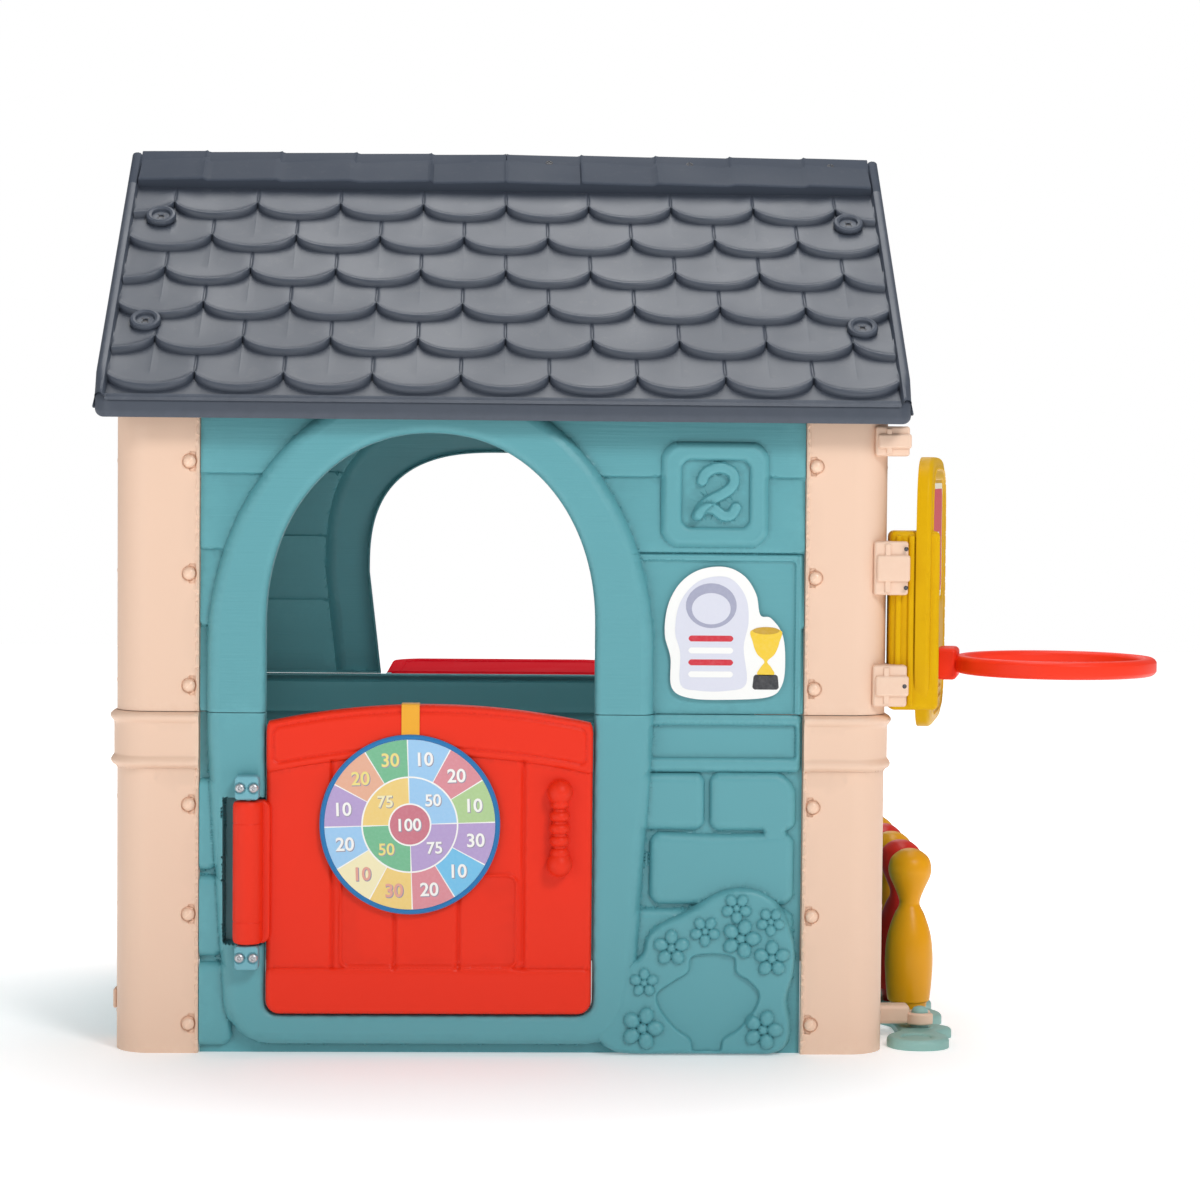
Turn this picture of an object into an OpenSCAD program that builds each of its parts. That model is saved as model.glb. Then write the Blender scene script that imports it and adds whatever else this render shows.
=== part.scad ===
// Toy playhouse: moulded walls between corner columns, a tiled roof in two slopes,
// a half door, a fold-up rear counter, a basketball hoop and a bowling set.
// X runs to the right as seen from the front, Y from front to back, Z up.
// The modules draw around the middle of the house. placed() then moves each piece back, so that
// the origin is on the ground at the middle of the front wall's outer face.

/* [House] */
// Width over the corner columns
house_w = 1036; // [1020:1:1060]
// Depth over the corner columns
house_d = 770; // [760:1:800]
// Height of the joint between the lower and the upper walls
seam_z = 458; // [456:1:462]
// Height of the wall tops under the eaves
wall_top = 884; // [880:1:886]
// Thickness of the moulded skins
skin = 3.5; // [3:0.5:4]
// Width of a column's front and side faces
column_leg = 114; // [110:1:118]
// Outer corner radius of a column
column_r = 50; // [45:1:55]
// How far the columns stand proud of the walls
column_proud = 10; // [9:1:12]

/* [Doorway] */
// Sideways offset of the doorway from the middle of the front
door_x = -96; // [-98:1:-94]
// Half the width of the doorway
door_a = 219; // [217:1:221]
// Height of the doorway's top
doorway_top = 831; // [825:1:836]
// How far the door surround stands proud of the wall
surround_proud = 25; // [24:1:26]

/* [Windows] */
// Half the width of the back window
back_window_a = 212; // [205:1:216]
// Half the width of a side window
side_window_a = 150; // [130:1:170]

/* [Roof] */
// Width of the roof
roof_w = 1080; // [1070:1:1100]
// Depth of the roof over both eaves
roof_d = 850; // [846:1:856]
// Height of the ridge
ridge_z = 1240; // [1230:1:1250]
// Height of the eave's lower edge
eave_z = 848; // [846:1:850]
// Rows of tiles on a slope
tile_rows = 6; // [4:1:7]

/* [Door and counter] */
// Height of the middle of the door's top edge
door_top = 470; // [466:1:474]
// Diameter of the hinge pins
pin_d = 8; // [6:1:9]
// Diameter of the dartboard
dart_d = 240; // [220:1:250]
// Width of the rear counter
counter_w = 376; // [360:1:380]
// Depth of the rear counter
counter_d = 352; // [330:1:355]

/* [Games] */
// Outer diameter of the basketball ring
hoop_d = 278; // [260:1:290]
// Height of the ring's lower edge
hoop_z = 508; // [500:1:520]
// Height of a bowling pin
skittle_h = 240; // [230:1:250]
// Number of bowling pins
skittles = 6; // [4:1:6]
// Distance between neighbouring bowling pins
skittle_pitch = 100; // [90:1:104]

/* [Hidden] */

cx = house_w / 2;                  // outer face of the columns, sideways
cy = house_d / 2;                  // outer face of the columns, front and back
front_y = cy - column_proud;       // outer face of the front and back walls
side_x = cx - column_proud;        // outer face of the side walls
front_half = cx - 28;              // half the length of the front and back walls
side_half = cy - 28;               // half the length of the side walls
column_skin = 4;
socket_bottom = 396;               // lowest point of an upper column, inside the belt
belt_bottom = 377;
belt_proud = 9;
bolt_inset = 13;                   // bolt centre from a column's inner edge
bolt_hole_d = 6.2;
lower_bolts = [40 : 147 : 334];
upper_bolts = [493 : 149 : 791];
jamb_step = 16;                    // wall left below the surround
sill_z = 54;                       // top of the doorway's threshold
spring_z = 576;                    // where the doorway's sides begin to curve

hinge_x = door_x - 240;            // door hinge axis
hinge_y = -(front_y + surround_proud + 10);
barrel_r = 20;
barrel_z0 = 152;
barrel_z1 = 342;
running_fit = 0.08;                // radial play of a pin in a turning barrel
leaf_half = door_a - 2;
leaf_y0 = -(front_y + surround_proud + 4);
leaf_t = 22;
leaf_z0 = 56;
leaf_r = 18;                       // round of the door's lower corners
leaf_ends = 24;                    // how much lower the door's top is at its ends

counter_axis_y = cy + 27;
counter_axis_z = seam_z - 12;
counter_t = 22;

eave_y = -roof_d / 2;
deck_z0 = eave_z + 18;             // underside of the roof skin at the eave
deck_z1 = ridge_z - 13;            // and at the ridge
pitch = atan((deck_z1 - deck_z0) / -eave_y);
slope_len = -eave_y / cos(pitch);
first_row = 18;
cap_s = slope_len * 0.862;         // where the ridge cap begins
row_pitch = (cap_s - first_row) / tile_rows;
screw_x = 485;
screw_rows = [0.29 * slope_len, 0.72 * slope_len];
ridge_screws = [62, 266, 471];     // along the half ridge that a panel's flap covers

skittle_x = cx + 65;
skittle_y0 = -145;
base_t = 14;
arm_y = -262;

wall_teal = [0.42, 0.65, 0.69];
cream = [0.93, 0.78, 0.66];
slate = [0.43, 0.47, 0.52];
toy_red = [0.90, 0.22, 0.16];
toy_yellow = [0.85, 0.66, 0.05];

// ---- shared shapes -------------------------------------------------------------

// Stands a flat outline up as a sheet facing the front, from y0 to y0 + t
module upright(y0, t) { translate([0, y0 + t, 0]) rotate([90, 0, 0]) linear_extrude(t) children(); }

// Points of a squarish arch: half width a, springing at z, rising b, fullness n
function arch(a, z, b, n, steps = 28) = [for (i = [0 : steps])
    let (c = cos(180 * i / steps), s = sin(180 * i / steps))
    [a * sign(c) * pow(abs(c), 2 / n), z + b * pow(s, 2 / n)]];

// Points of a quarter round, turning left, or right where turn is -1
function fillet(x, z, r, from, turn = 1) = [for (i = [0 : 5])
    [x + r * cos(from + turn * 18 * i), z + r * sin(from + turn * 18 * i)]];

module surround_outline(inset = 0) {
    foot = 271 - inset;
    r = 60 - inset;
    translate([door_x, 0]) polygon(concat(
        arch(294 - inset, 538, 360 - inset, 2),
        [[-(294 - inset), 425]],
        fillet(-foot + r, jamb_step + 60, r, 180),
        fillet(foot - r, jamb_step + 60, r, 270),
        [[294 - inset, 425]]));
}

module doorway_outline(outset = 0) {
    a = door_a + outset;
    r = 18 + outset;
    translate([door_x, 0]) polygon(concat(
        arch(a, spring_z, doorway_top - spring_z + outset, 2.1),
        fillet(-a + r, sill_z + 18, r, 180),
        fillet(a - r, sill_z + 18, r, 270)));
}

// A window that is open down to the seam, drawn in a with its sides drawn in slightly
module window_outline(a, b, zc, grow = 0) {
    polygon(concat(arch(a + grow, zc, b + grow, 2.75),
        [[-a * 0.9 - grow, seam_z - 20], [a * 0.9 + grow, seam_z - 20]]));
}

// Bolt holes near both ends of a wall whose face is at y = -out
module wall_bolt_holes(out, x, heights) {
    for (s = [-1, 1], z = heights) translate([s * x, -out - 1, z])
        rotate([-90, 0, 0]) cylinder(d = bolt_hole_d, h = skin + 2, $fn = 24);
}

// Raised stones on a lower wall: left, bottom, width and height of each
module stones(out, list) { for (b = list) translate([b[0], -out - 3, b[1]]) cube([b[2], 3, b[3]]); }

// ---- front wall -----------------------------------------------------------------

module front_sheet(z0, z1) {
    surround_y = -(front_y + surround_proud);
    difference() {
        union() {
            translate([-front_half, -front_y, z0]) cube([2 * front_half, skin, z1 - z0]);
            intersection() {
                upright(surround_y, surround_proud + skin) surround_outline();
                translate([-front_half, -front_y - 100, z0]) cube([2 * front_half, 200, z1 - z0]);
            }
            children();
        }
        difference() {
            upright(surround_y + skin, surround_proud + skin) surround_outline(skin);
            upright(surround_y - 1, surround_proud + 2 * skin + 2) doorway_outline(skin);
            translate([-front_half, -front_y - 100, z0 - 1]) cube([2 * front_half, 200, skin + 1]);
        }
        upright(surround_y - 1, surround_proud + 2 * skin + 2) doorway_outline();
    }
}

// Flower clump at the foot of the front wall: place and radius of each flower head
module bush(out, inset) {
    heads = [[316, 196, 22], [362, 180, 20], [272, 166, 20], [318, 152, 34], [228, 142, 30], [358, 128, 30],
             [190, 96, 24], [188, 40, 34], [354, 40, 34], [280, 90, 70]];
    for (h = heads) translate([h[0], -front_y + 1, h[1]])
        rotate([90, 0, 0]) cylinder(r = h[2] - inset, h = out + 1, $fn = 40);
}

module lower_front_wall() {
    color(wall_teal) difference() {
        union() {
            front_sheet(0, seam_z) {
                translate([180, -front_y - 10, belt_bottom + 4])
                    cube([cx - column_leg - 181, 11, seam_z - belt_bottom - 4]);
                bush(12, 0);
                stones(front_y, [[196, 306, 74, 70], [282, 304, 110, 72], [202, 205, 190, 92]]);
            }
        }
        translate([202, -front_y - 6, belt_bottom + 8]) cube([190, 20, seam_z - belt_bottom - 16]);
        difference() {
            translate([0, skin + 1, 0]) bush(12 + 2, skin);
            upright(-front_y - 40, 100) surround_outline();
        }
        translate([hinge_x - 35, -front_y - surround_proud - 2, barrel_z0 - 2])
            cube([35 + barrel_r + 6, surround_proud + 1, barrel_z1 - barrel_z0 + 4]);
        wall_bolt_holes(front_y, cx - column_leg + bolt_inset, lower_bolts);
        hinge_screw_holes();
    }
}

module upper_front_wall() {
    color(wall_teal) difference() {
        front_sheet(seam_z, wall_top)
            translate([212, -front_y - 4, 684]) cube([138, 5, 136]);
        translate([226, -front_y - 5, 698]) cube([110, 4, 108]);
        wall_bolt_holes(front_y, cx - column_leg + bolt_inset, upper_bolts);
    }
}

// ---- back and side walls ---------------------------------------------------------

module lower_wall(out, half, bolt_x) {
    difference() {
        union() {
            translate([-half, -out, 0]) cube([2 * half, skin, seam_z]);
            translate([-bolt_x + bolt_inset, -out - 10, belt_bottom + 4])
                cube([2 * (bolt_x - bolt_inset), 11, seam_z - belt_bottom - 4]);
            children();
        }
        translate([-bolt_x + bolt_inset + skin, -out - 6, belt_bottom + 8])
            cube([2 * (bolt_x - bolt_inset - skin), 20, seam_z - belt_bottom - 16]);
        wall_bolt_holes(out, bolt_x, lower_bolts);
    }
}

module upper_wall(out, half, bolt_x, a, b, zc, band, top) {
    difference() {
        union() {
            translate([-half, -out, seam_z]) cube([2 * half, skin, top - seam_z]);
            intersection() {
                upright(-out - surround_proud, surround_proud + skin) window_outline(a, b, zc, band);
                translate([-half, -out - 100, seam_z]) cube([2 * half, 200, top - seam_z]);
            }
        }
        difference() {
            upright(-out - surround_proud + skin, surround_proud + skin)
                window_outline(a, b, zc, band - skin);
            upright(-out - surround_proud - 1, surround_proud + 2 * skin + 2) window_outline(a, b, zc, skin);
            translate([-half, -out - 100, seam_z - 1]) cube([2 * half, 200, skin + 1]);
        }
        upright(-out - surround_proud - 1, surround_proud + 2 * skin + 2) window_outline(a, b, zc);
        wall_bolt_holes(out, bolt_x, upper_bolts);
    }
}

module counter_lug(x) {
    translate([x, -counter_axis_y, counter_axis_z]) rotate([0, 90, 0]) difference() {
        union() {
            cylinder(r = 11, h = 9, $fn = 48);
            translate([-11, 0, 0]) cube([22, counter_axis_y - front_y - 9.5, 9]);
        }
        translate([0, 0, -1]) cylinder(d = pin_d, h = 11, $fn = 48);
    }
}

module lower_back_wall() {
    color(wall_teal) rotate([0, 0, 180]) difference() {
        lower_wall(front_y, front_half, cx - column_leg + bolt_inset) {
            stones(front_y, [for (s = [-1, 1], r = [0 : 2]) [s * 300 - 80 + 12 * (r % 2), 40 + 112 * r, 150,
                96]]);
            for (x = [-counter_w / 2 + 2, counter_w / 2 - 11]) counter_lug(x);
        }
        bracket_screw_holes();
    }
}

module upper_back_wall() {
    color(wall_teal) rotate([0, 0, 180])
        upper_wall(front_y, front_half, cx - column_leg + bolt_inset, back_window_a, 190, 620, 68, wall_top);
}

// side = -1 for the left, 1 for the right
module lower_side_wall(side) {
    color(wall_teal) rotate([0, 0, 90 * side])
        lower_wall(side_x, side_half, cy - column_leg + bolt_inset)
            stones(side_x, [for (c = [-1, 0, 1], r = [0 : 2]) [c * 172 - 76 + 10 * (r % 2), 30 + 112 * r,
                148, 98]]);
}

module upper_side_wall(side) {
    color(wall_teal) rotate([0, 0, 90 * side])
        upper_wall(side_x, side_half, cy - column_leg + bolt_inset, side_window_a, 170, 600, 48, 842);
}

// ---- corner columns ---------------------------------------------------------------

module corner_area(x, y, r) {
    square([x - r, y]);
    square([x, y - r]);
    translate([x - r, y - r]) circle(r = r, $fn = 64);
}

// Hollow L-shaped section in the +X +Y corner
module corner_section(grow, t) {
    difference() {
        intersection() {
            corner_area(cx + grow, cy + grow, column_r + grow);
            translate([cx - column_leg, cy - column_leg]) square(column_leg + grow);
        }
        corner_area(cx + grow - t, cy + grow - t, column_r + grow - t);
    }
}

// Edges that turn in to meet the wall faces
module corner_lips() {
    translate([cx - column_leg, front_y]) square([column_skin, column_proud]);
    translate([side_x, cy - column_leg]) square([column_proud, column_skin]);
}

module bolt_places(heights) {
    for (z = heights) {
        translate([cx - column_leg + bolt_inset, cy, z]) rotate([-90, 0, 0]) children();
        translate([cx, cy - column_leg + bolt_inset, z]) rotate([0, 90, 0]) children();
    }
}

module at_corner(sx, sy) { mirror([sx < 0 ? 1 : 0, 0, 0]) mirror([0, sy < 0 ? 1 : 0, 0]) children(); }

module lower_column(sx, sy) {
    color(cream) at_corner(sx, sy) difference() {
        union() {
            linear_extrude(socket_bottom) { corner_section(0, column_skin); corner_lips(); }
            translate([0, 0, belt_bottom]) linear_extrude(seam_z - belt_bottom)
                corner_section(belt_proud, belt_proud - 0.3);
            translate([0, 0, belt_bottom]) linear_extrude(skin) corner_section(belt_proud, belt_proud + 1);
        }
        bolt_places(lower_bolts) translate([0, 0, -column_skin - 1])
            cylinder(d = bolt_hole_d, h = column_skin + 2, $fn = 24);
    }
}

module upper_column(sx, sy) {
    color(cream) at_corner(sx, sy) difference() {
        translate([0, 0, socket_bottom]) linear_extrude(wall_top - socket_bottom) {
            corner_section(0, column_skin);
            corner_lips();
        }
        bolt_places(upper_bolts) translate([0, 0, -column_skin - 1])
            cylinder(d = bolt_hole_d, h = column_skin + 2, $fn = 24);
        translate([cx - column_leg - 1, front_y - 1, socket_bottom - 1])
            cube([column_skin + 2, 11, seam_z - socket_bottom + 1]);
        translate([side_x - 1, cy - column_leg - 1, socket_bottom - 1])
            cube([11, column_skin + 2, seam_z - socket_bottom + 1]);
    }
}

// Domed head over a plain shank, head underside at the origin
module bolt(head_d, dome, shank_d, len) {
    r = (pow(head_d / 2, 2) + dome * dome) / (2 * dome);
    intersection() {
        translate([0, 0, dome - r]) sphere(r = r, $fn = 48);
        cylinder(r = head_d, h = dome + 1, $fn = 48);
    }
    translate([0, 0, -len]) cylinder(d = shank_d, h = len, $fn = 24);
}

module corner_bolts(sx, sy) {
    color("lightgrey") at_corner(sx, sy) {
        bolt_places(lower_bolts) bolt(17, 5, 6, 20);
        bolt_places(upper_bolts) bolt(17, 5, 6, 20);
    }
}

// ---- roof ---------------------------------------------------------------------------

tile_top = 12;                     // rise of a tile's lower edge above the deck
tile_foot = 5;                     // and of its upper end
verge_t = 12;                      // width of the rolled edge at each end
// Point on the front slope: s up the slope from the eave, n out from the underside
function deck(s, n) = [eave_y + s * cos(pitch) - n * sin(pitch), deck_z0 + s * sin(pitch) + n * cos(pitch)];

// Extrudes a (y, z) outline sideways from x0 to x1
module lengthwise(x0, x1) { translate([x0, 0, 0]) rotate([90, 0, 90]) linear_extrude(x1 - x0) children(); }

module slope_outline() {
    ridge_top = deck_z1 + 7 / cos(pitch);
    polygon(concat(
        [[eave_y, eave_z], [eave_y, deck_z0 + 8]],
        [for (i = [0 : tile_rows - 1], n = [tile_foot, tile_top]) deck(first_row + i * row_pitch, n)],
        [deck(cap_s, tile_foot), deck(cap_s, 7)],
        [[-0.2, ridge_top - 0.2], [-0.2, deck_z1 + 3], deck(cap_s, 2), deck(cap_s, tile_foot - skin)],
        [for (i = [tile_rows - 1 : -1 : 0], n = [tile_top, tile_foot]) deck(first_row + i * row_pitch + 0.5,
            n - skin)],
        [deck(8, 0), [eave_y + skin, deck_z0 - 2], [eave_y + skin, eave_z]]));
}

// Edge board down each end of a slope
module verge_outline() {
    polygon([[eave_y, eave_z], [eave_y, deck_z0 + 10], deck(14, 13), [-0.2, ridge_z - 1],
        [-0.2, deck_z1 - 32],
             [eave_y + 30, eave_z]]);
}

module verge(side) {
    outer = side * roof_w / 2;
    lengthwise(min(outer, outer - side * skin), max(outer, outer - side * skin)) verge_outline();
    lengthwise(min(outer, outer - side * verge_t), max(outer, outer - side * verge_t)) difference() {
        verge_outline();
        translate([0, -skin - 9 / cos(pitch)]) verge_outline();
    }
}

// Cap that a panel laps over the other slope along half the ridge
module flap_outline() {
    lap = 24;
    drop = lap * tan(pitch);
    top = deck_z1 + 7 / cos(pitch) + 0.3;
    polygon([[-40, top - 40 * tan(pitch) - 0.6], [-40, top + 3.4 - 40 * tan(pitch)], [-2, ridge_z - 2],
        [0, ridge_z],
             [2, ridge_z - 2], [lap, top + 3.4 - drop], [lap, top - drop], [0, top]]);
}

module slope_places() {
    for (s = [-1, 1], u = screw_rows) translate([s * screw_x, deck(u, 0)[0], deck(u, 0)[1]])
        rotate([pitch, 0, 0]) children();
}

// Seats of the ridge screws, on the far slope under the flap
module ridge_places() {
    for (x = ridge_screws) translate([-x, 15, ridge_z - 15 * tan(pitch)]) rotate([-pitch, 0, 0]) children();
}

module roof_panel() {
    difference() {
        union() {
            lengthwise(-roof_w / 2, roof_w / 2) slope_outline();
            for (side = [-1, 1]) verge(side);
            lengthwise(-roof_w / 2 + verge_t + 0.4, -0.2) flap_outline();
            slope_places() cylinder(d = 38, h = 13, $fn = 48);
        }
        slope_places() translate([0, 0, 8]) cylinder(d = 31, h = 20, $fn = 48);
        slope_places() translate([0, 0, -5]) cylinder(d = 5.2, h = 20, $fn = 24);
        ridge_places() translate([0, 0, -20]) cylinder(d = 4.2, h = 30, $fn = 24);
        rotate([0, 0, 180]) ridge_places() translate([0, 0, -20]) cylinder(d = 4.2, h = 30, $fn = 24);
    }
}

module roof_front() { color(slate) roof_panel(); }
module roof_rear() { color(slate) rotate([0, 0, 180]) roof_panel(); }

module roof_screws() {
    color("dimgrey") for (turn = [0, 180]) rotate([0, 0, turn]) {
        slope_places() translate([0, 0, 8]) bolt(27, 4, 5, 24);
        ridge_places() bolt(12, 2.4, 4, 16);
    }
}

module gable_outline(drop) {
    slack = 0.3 + drop;
    edge_z = deck_z0 + (side_half + eave_y) * -tan(pitch) - slack;
    polygon([[-side_half, 842.3], [-side_half, edge_z], [0, deck_z1 - slack], [side_half, edge_z],
        [side_half, 842.3]]);
}

// Gable sheet with a flange that turns in under the roof
module gable(side) {
    flange = 34;
    color(wall_teal) difference() {
        lengthwise(side > 0 ? side_x - flange : -side_x, side > 0 ? side_x : -side_x + flange)
            gable_outline(0);
        lengthwise(side > 0 ? side_x - flange - 1 : -side_x + skin,
            side > 0 ? side_x - skin : -side_x + flange + 1)
            translate([0, -skin]) gable_outline(0);
        for (turn = [0, 180]) rotate([0, 0, turn]) slope_places() translate([0, 0, -20])
            cylinder(d = 5.2, h = 28, $fn = 24);
    }
}

// ---- door ------------------------------------------------------------------------------

function leaf_top(inset) = [for (i = [-8 : 8])
    [(leaf_half - inset) * i / 8, door_top - inset - leaf_ends * pow(i / 8, 2)]];

module leaf_outline(inset, z0) {
    x = leaf_half - leaf_r;
    translate([door_x, 0]) polygon(concat(leaf_top(inset), fillet(x, z0 + leaf_r, leaf_r - inset, 0, -1),
        fillet(-x, z0 + leaf_r, leaf_r - inset, 270, -1)));
}

module rail_outline() {
    translate([door_x, 0]) polygon(concat(leaf_top(3), [for (i = [8 : -1 : -8])
        [(leaf_half - 3) * i / 8, door_top - 66 - leaf_ends * pow(i / 8, 2)]]));
}

// Moulded pull: a ringed bar between two balls
module door_pull() {
    z0 = 242;
    z1 = 372;
    translate([door_x + 173, leaf_y0 - 6, 0]) {
        translate([0, 0, z0]) cylinder(r = 13, h = z1 - z0, $fn = 40);
        for (z = [z0, z1]) translate([0, 0, z]) sphere(r = 17, $fn = 40);
        for (i = [0 : 3]) translate([0, 0, z0 + 24 + i * 26]) cylinder(r = 18, h = 7, $fn = 40);
    }
}

module door() {
    color(toy_red) difference() {
        union() {
            upright(leaf_y0 + 3, leaf_t - 3) leaf_outline(0, leaf_z0);
            upright(leaf_y0, 4) rail_outline();
            translate([door_x - leaf_half + 3, leaf_y0, leaf_z0 + 3]) cube([2 * leaf_half - 6, 4, 56]);
            difference() {
                door_pull();
                translate([door_x, leaf_y0 + 6, 200]) cube([300, 40, 240]);
            }
            translate([hinge_x, hinge_y, barrel_z0])
                cylinder(r = barrel_r, h = barrel_z1 - barrel_z0, $fn = 64);
            translate([hinge_x, hinge_y + 1, barrel_z0])
                cube([door_x - leaf_half - hinge_x + 6, 10, barrel_z1 - barrel_z0]);
        }
        difference() {
            upright(leaf_y0 + 3 + skin, leaf_t) leaf_outline(skin, leaf_z0);
            for (x = [door_x - 110, door_x + 106]) translate([x, leaf_y0, leaf_z0]) cube([skin, leaf_t, 420]);
            for (z = [180, 310]) translate([door_x - leaf_half, leaf_y0, z])
                cube([2 * leaf_half, leaf_t, skin]);
        }
        translate([hinge_x, hinge_y, barrel_z0 - 1])
            cylinder(d = pin_d + 2 * running_fit, h = barrel_z1 - barrel_z0 + 2, $fn = 48);
    }
}

bracket_h = 32;
pin_z0 = barrel_z0 - 2 - bracket_h + 4;
pin_z1 = barrel_z1 + 2 + bracket_h - 4;

module hinge_pin() {
    color("silver") translate([hinge_x, hinge_y, pin_z0]) cylinder(d = pin_d, h = pin_z1 - pin_z0, $fn = 48);
}

module hinge_bracket(z0, blind_up) {
    color([0.5, 0.72, 0.77]) difference() {
        translate([hinge_x - 17, hinge_y - 14, z0]) cube([32, 24, bracket_h]);
        translate([hinge_x, hinge_y, z0 + (blind_up ? -1 : 4)])
            cylinder(d = pin_d, h = bracket_h - 3, $fn = 48);
        hinge_screw_holes();
    }
}

module hinge_screw_places() {
    for (z = [barrel_z1 + 2 + bracket_h - 7, barrel_z0 - 2 - bracket_h + 7], x = [-10, 8])
        translate([hinge_x + x, hinge_y - 14, z]) rotate([90, 0, 0]) children();
}

module hinge_screw_holes() {
    hinge_screw_places() translate([0, 0, -34]) cylinder(d = 4.2, h = 40, $fn = 24);
}

module hinge_screws() {
    color("silver") hinge_screw_places() {
        cylinder(d = 9, h = 3, $fn = 6);
        translate([0, 0, -30]) cylinder(d = 4, h = 31, $fn = 24);
    }
}

// ---- dartboard ----------------------------------------------------------------------------

dart_x = door_x - 26;
dart_z = 311;
fold_y = leaf_y0 - 2;
fold_z = door_top + 1;

module dartboard() {
    color("gold") translate([dart_x, leaf_y0 - 1, dart_z]) rotate([90, 0, 0])
        cylinder(d = dart_d, h = 4, $fn = 96);
}

module dartboard_strap() {
    foot = dart_z + dart_d / 2 + 0.6;
    color("orange") translate([dart_x - 12, leaf_y0 - 2.6, foot]) cube([24, 1.4, door_top - 0.6 - foot]);
}

module strap_loop() {
    back_y = leaf_y0 + leaf_t + 0.6;
    color("orange") translate([dart_x - 12, 0, 0]) {
        translate([0, leaf_y0 - 2.6, door_top + 0.4]) cube([24, back_y + 1.4 - leaf_y0 + 2.6, 1.4]);
        translate([0, back_y, door_top - 60]) cube([24, 1.4, 61]);
    }
}

// ---- rear counter ---------------------------------------------------------------------------

module counter() {
    w = counter_w / 2;
    y0 = counter_axis_y + 14;
    y1 = counter_axis_y + counter_d;
    r = 46;
    color([0.82, 0.08, 0.14]) difference() {
        union() {
            translate([0, 0, counter_axis_z + 12 - counter_t]) linear_extrude(counter_t) difference() {
                union() {
                    translate([-w, y0]) square([2 * w, y1 - y0 - r]);
                    translate([-w + r, y1 - r - 1]) square([2 * (w - r), r + 1]);
                    for (s = [-1, 1]) translate([s * (w - r), y1 - r]) circle(r = r, $fn = 48);
                }
                translate([-23, y1 - 30]) square([46, 13]);
            }
            translate([-w + 14, counter_axis_y, counter_axis_z + 2]) cube([2 * w - 28, 20, 8]);
            translate([-w + 14, counter_axis_y, counter_axis_z]) rotate([0, 90, 0])
                cylinder(r = 10, h = 2 * w - 28, $fn = 48);
        }
        translate([-w + skin, y0 + skin, counter_axis_z - counter_t])
            cube([2 * w - 2 * skin, y1 - y0 - 2 * skin - 44, counter_t + 12 - skin]);
        translate([-w, counter_axis_y, counter_axis_z]) rotate([0, 90, 0])
            cylinder(d = pin_d + 2 * running_fit, h = 2 * w, $fn = 48);
    }
}

module counter_pin() {
    color("silver") translate([-counter_w / 2 + 2.2, counter_axis_y, counter_axis_z])
        rotate([0, 90, 0]) cylinder(d = pin_d, h = counter_w - 4.4, $fn = 48);
}

gusset_x = [-110, 98];
gusset_top = counter_axis_z + 12 - counter_t - 0.4;

// Triangular arms under the counter, each with a foot screwed to the wall
module counter_brackets() {
    color(wall_teal) for (x = gusset_x) difference() {
        union() {
            lengthwise(x, x + 12) polygon([[front_y, 226], [front_y + 10.4, 226],
                [front_y + 190, gusset_top - 16],
                [front_y + 190, gusset_top], [front_y + 10.4, gusset_top],
                    [front_y + 10.4, belt_bottom + 3.6],
                [front_y, belt_bottom + 3.6]]);
            translate([x - 14, front_y, 236]) cube([40, 5, 120]);
        }
        rotate([0, 0, 180]) bracket_screw_holes();
    }
}

module bracket_screw_places() {
    for (x = gusset_x, dx = [-8, 20], z = [256, 336]) translate([-x - dx, -front_y - 5, z])
        rotate([90, 0, 0]) children();
}

module bracket_screw_holes() { bracket_screw_places() translate([0, 0, -16]) cylinder(d = 4.2, h = 20,
    $fn = 24); }

module counter_bracket_screws() {
    color("silver") rotate([0, 0, 180]) bracket_screw_places() bolt(9, 2.5, 4, 14);
}

// ---- basketball -----------------------------------------------------------------------------

board_at = [578, -218];            // middle of the board's back face
board_turn = -12;
board_t = 28;
board_w = 310;
board_z0 = 436;
board_z1 = 806;
clip_y0 = -cy - 4;
spine_y0 = -372;
spine_y1 = -322;

module at_board() { translate([board_at[0], board_at[1], 0]) rotate([0, 0, board_turn]) children(); }

// Shield with a bowed top and round shoulders, drawn across the board's width
module shield(inset) {
    w = board_w / 2 - inset;
    h = (board_z1 - board_z0) / 2 - inset;
    translate([0, (board_z0 + board_z1) / 2])
        polygon([for (i = [0 : 71]) let (c = cos(i * 5), s = sin(i * 5))
            [w * sign(c) * pow(abs(c), 0.36), h * sign(s) * pow(abs(s), 0.42)]]);
}

module backboard() {
    hang_z0 = hoop_z - 44;
    hang_z1 = 706;
    color(toy_yellow) difference() {
        union() {
            at_board() lengthwise(0, board_t) shield(0);
            difference() {
                translate([cx + 2.3, spine_y0, hang_z0]) cube([60, spine_y1 - spine_y0, hang_z1 - hang_z0]);
                at_board() translate([0, -board_w, 0]) cube([200, 2 * board_w, 1000]);
            }
        }
        at_board() lengthwise(-1, board_t - skin) difference() {
            shield(skin);
            for (y = [-board_w / 2 + 34, 0, board_w / 4]) translate([y, 0]) square([skin, 1000]);
            translate([0, hoop_z + 12]) circle(r = 14, $fn = 40);
        }
        at_board() translate([board_t - 12, 0, hoop_z + 12]) rotate([0, 90, 0])
            cylinder(d = 8.2, h = 30, $fn = 32);
    }
}

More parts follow.
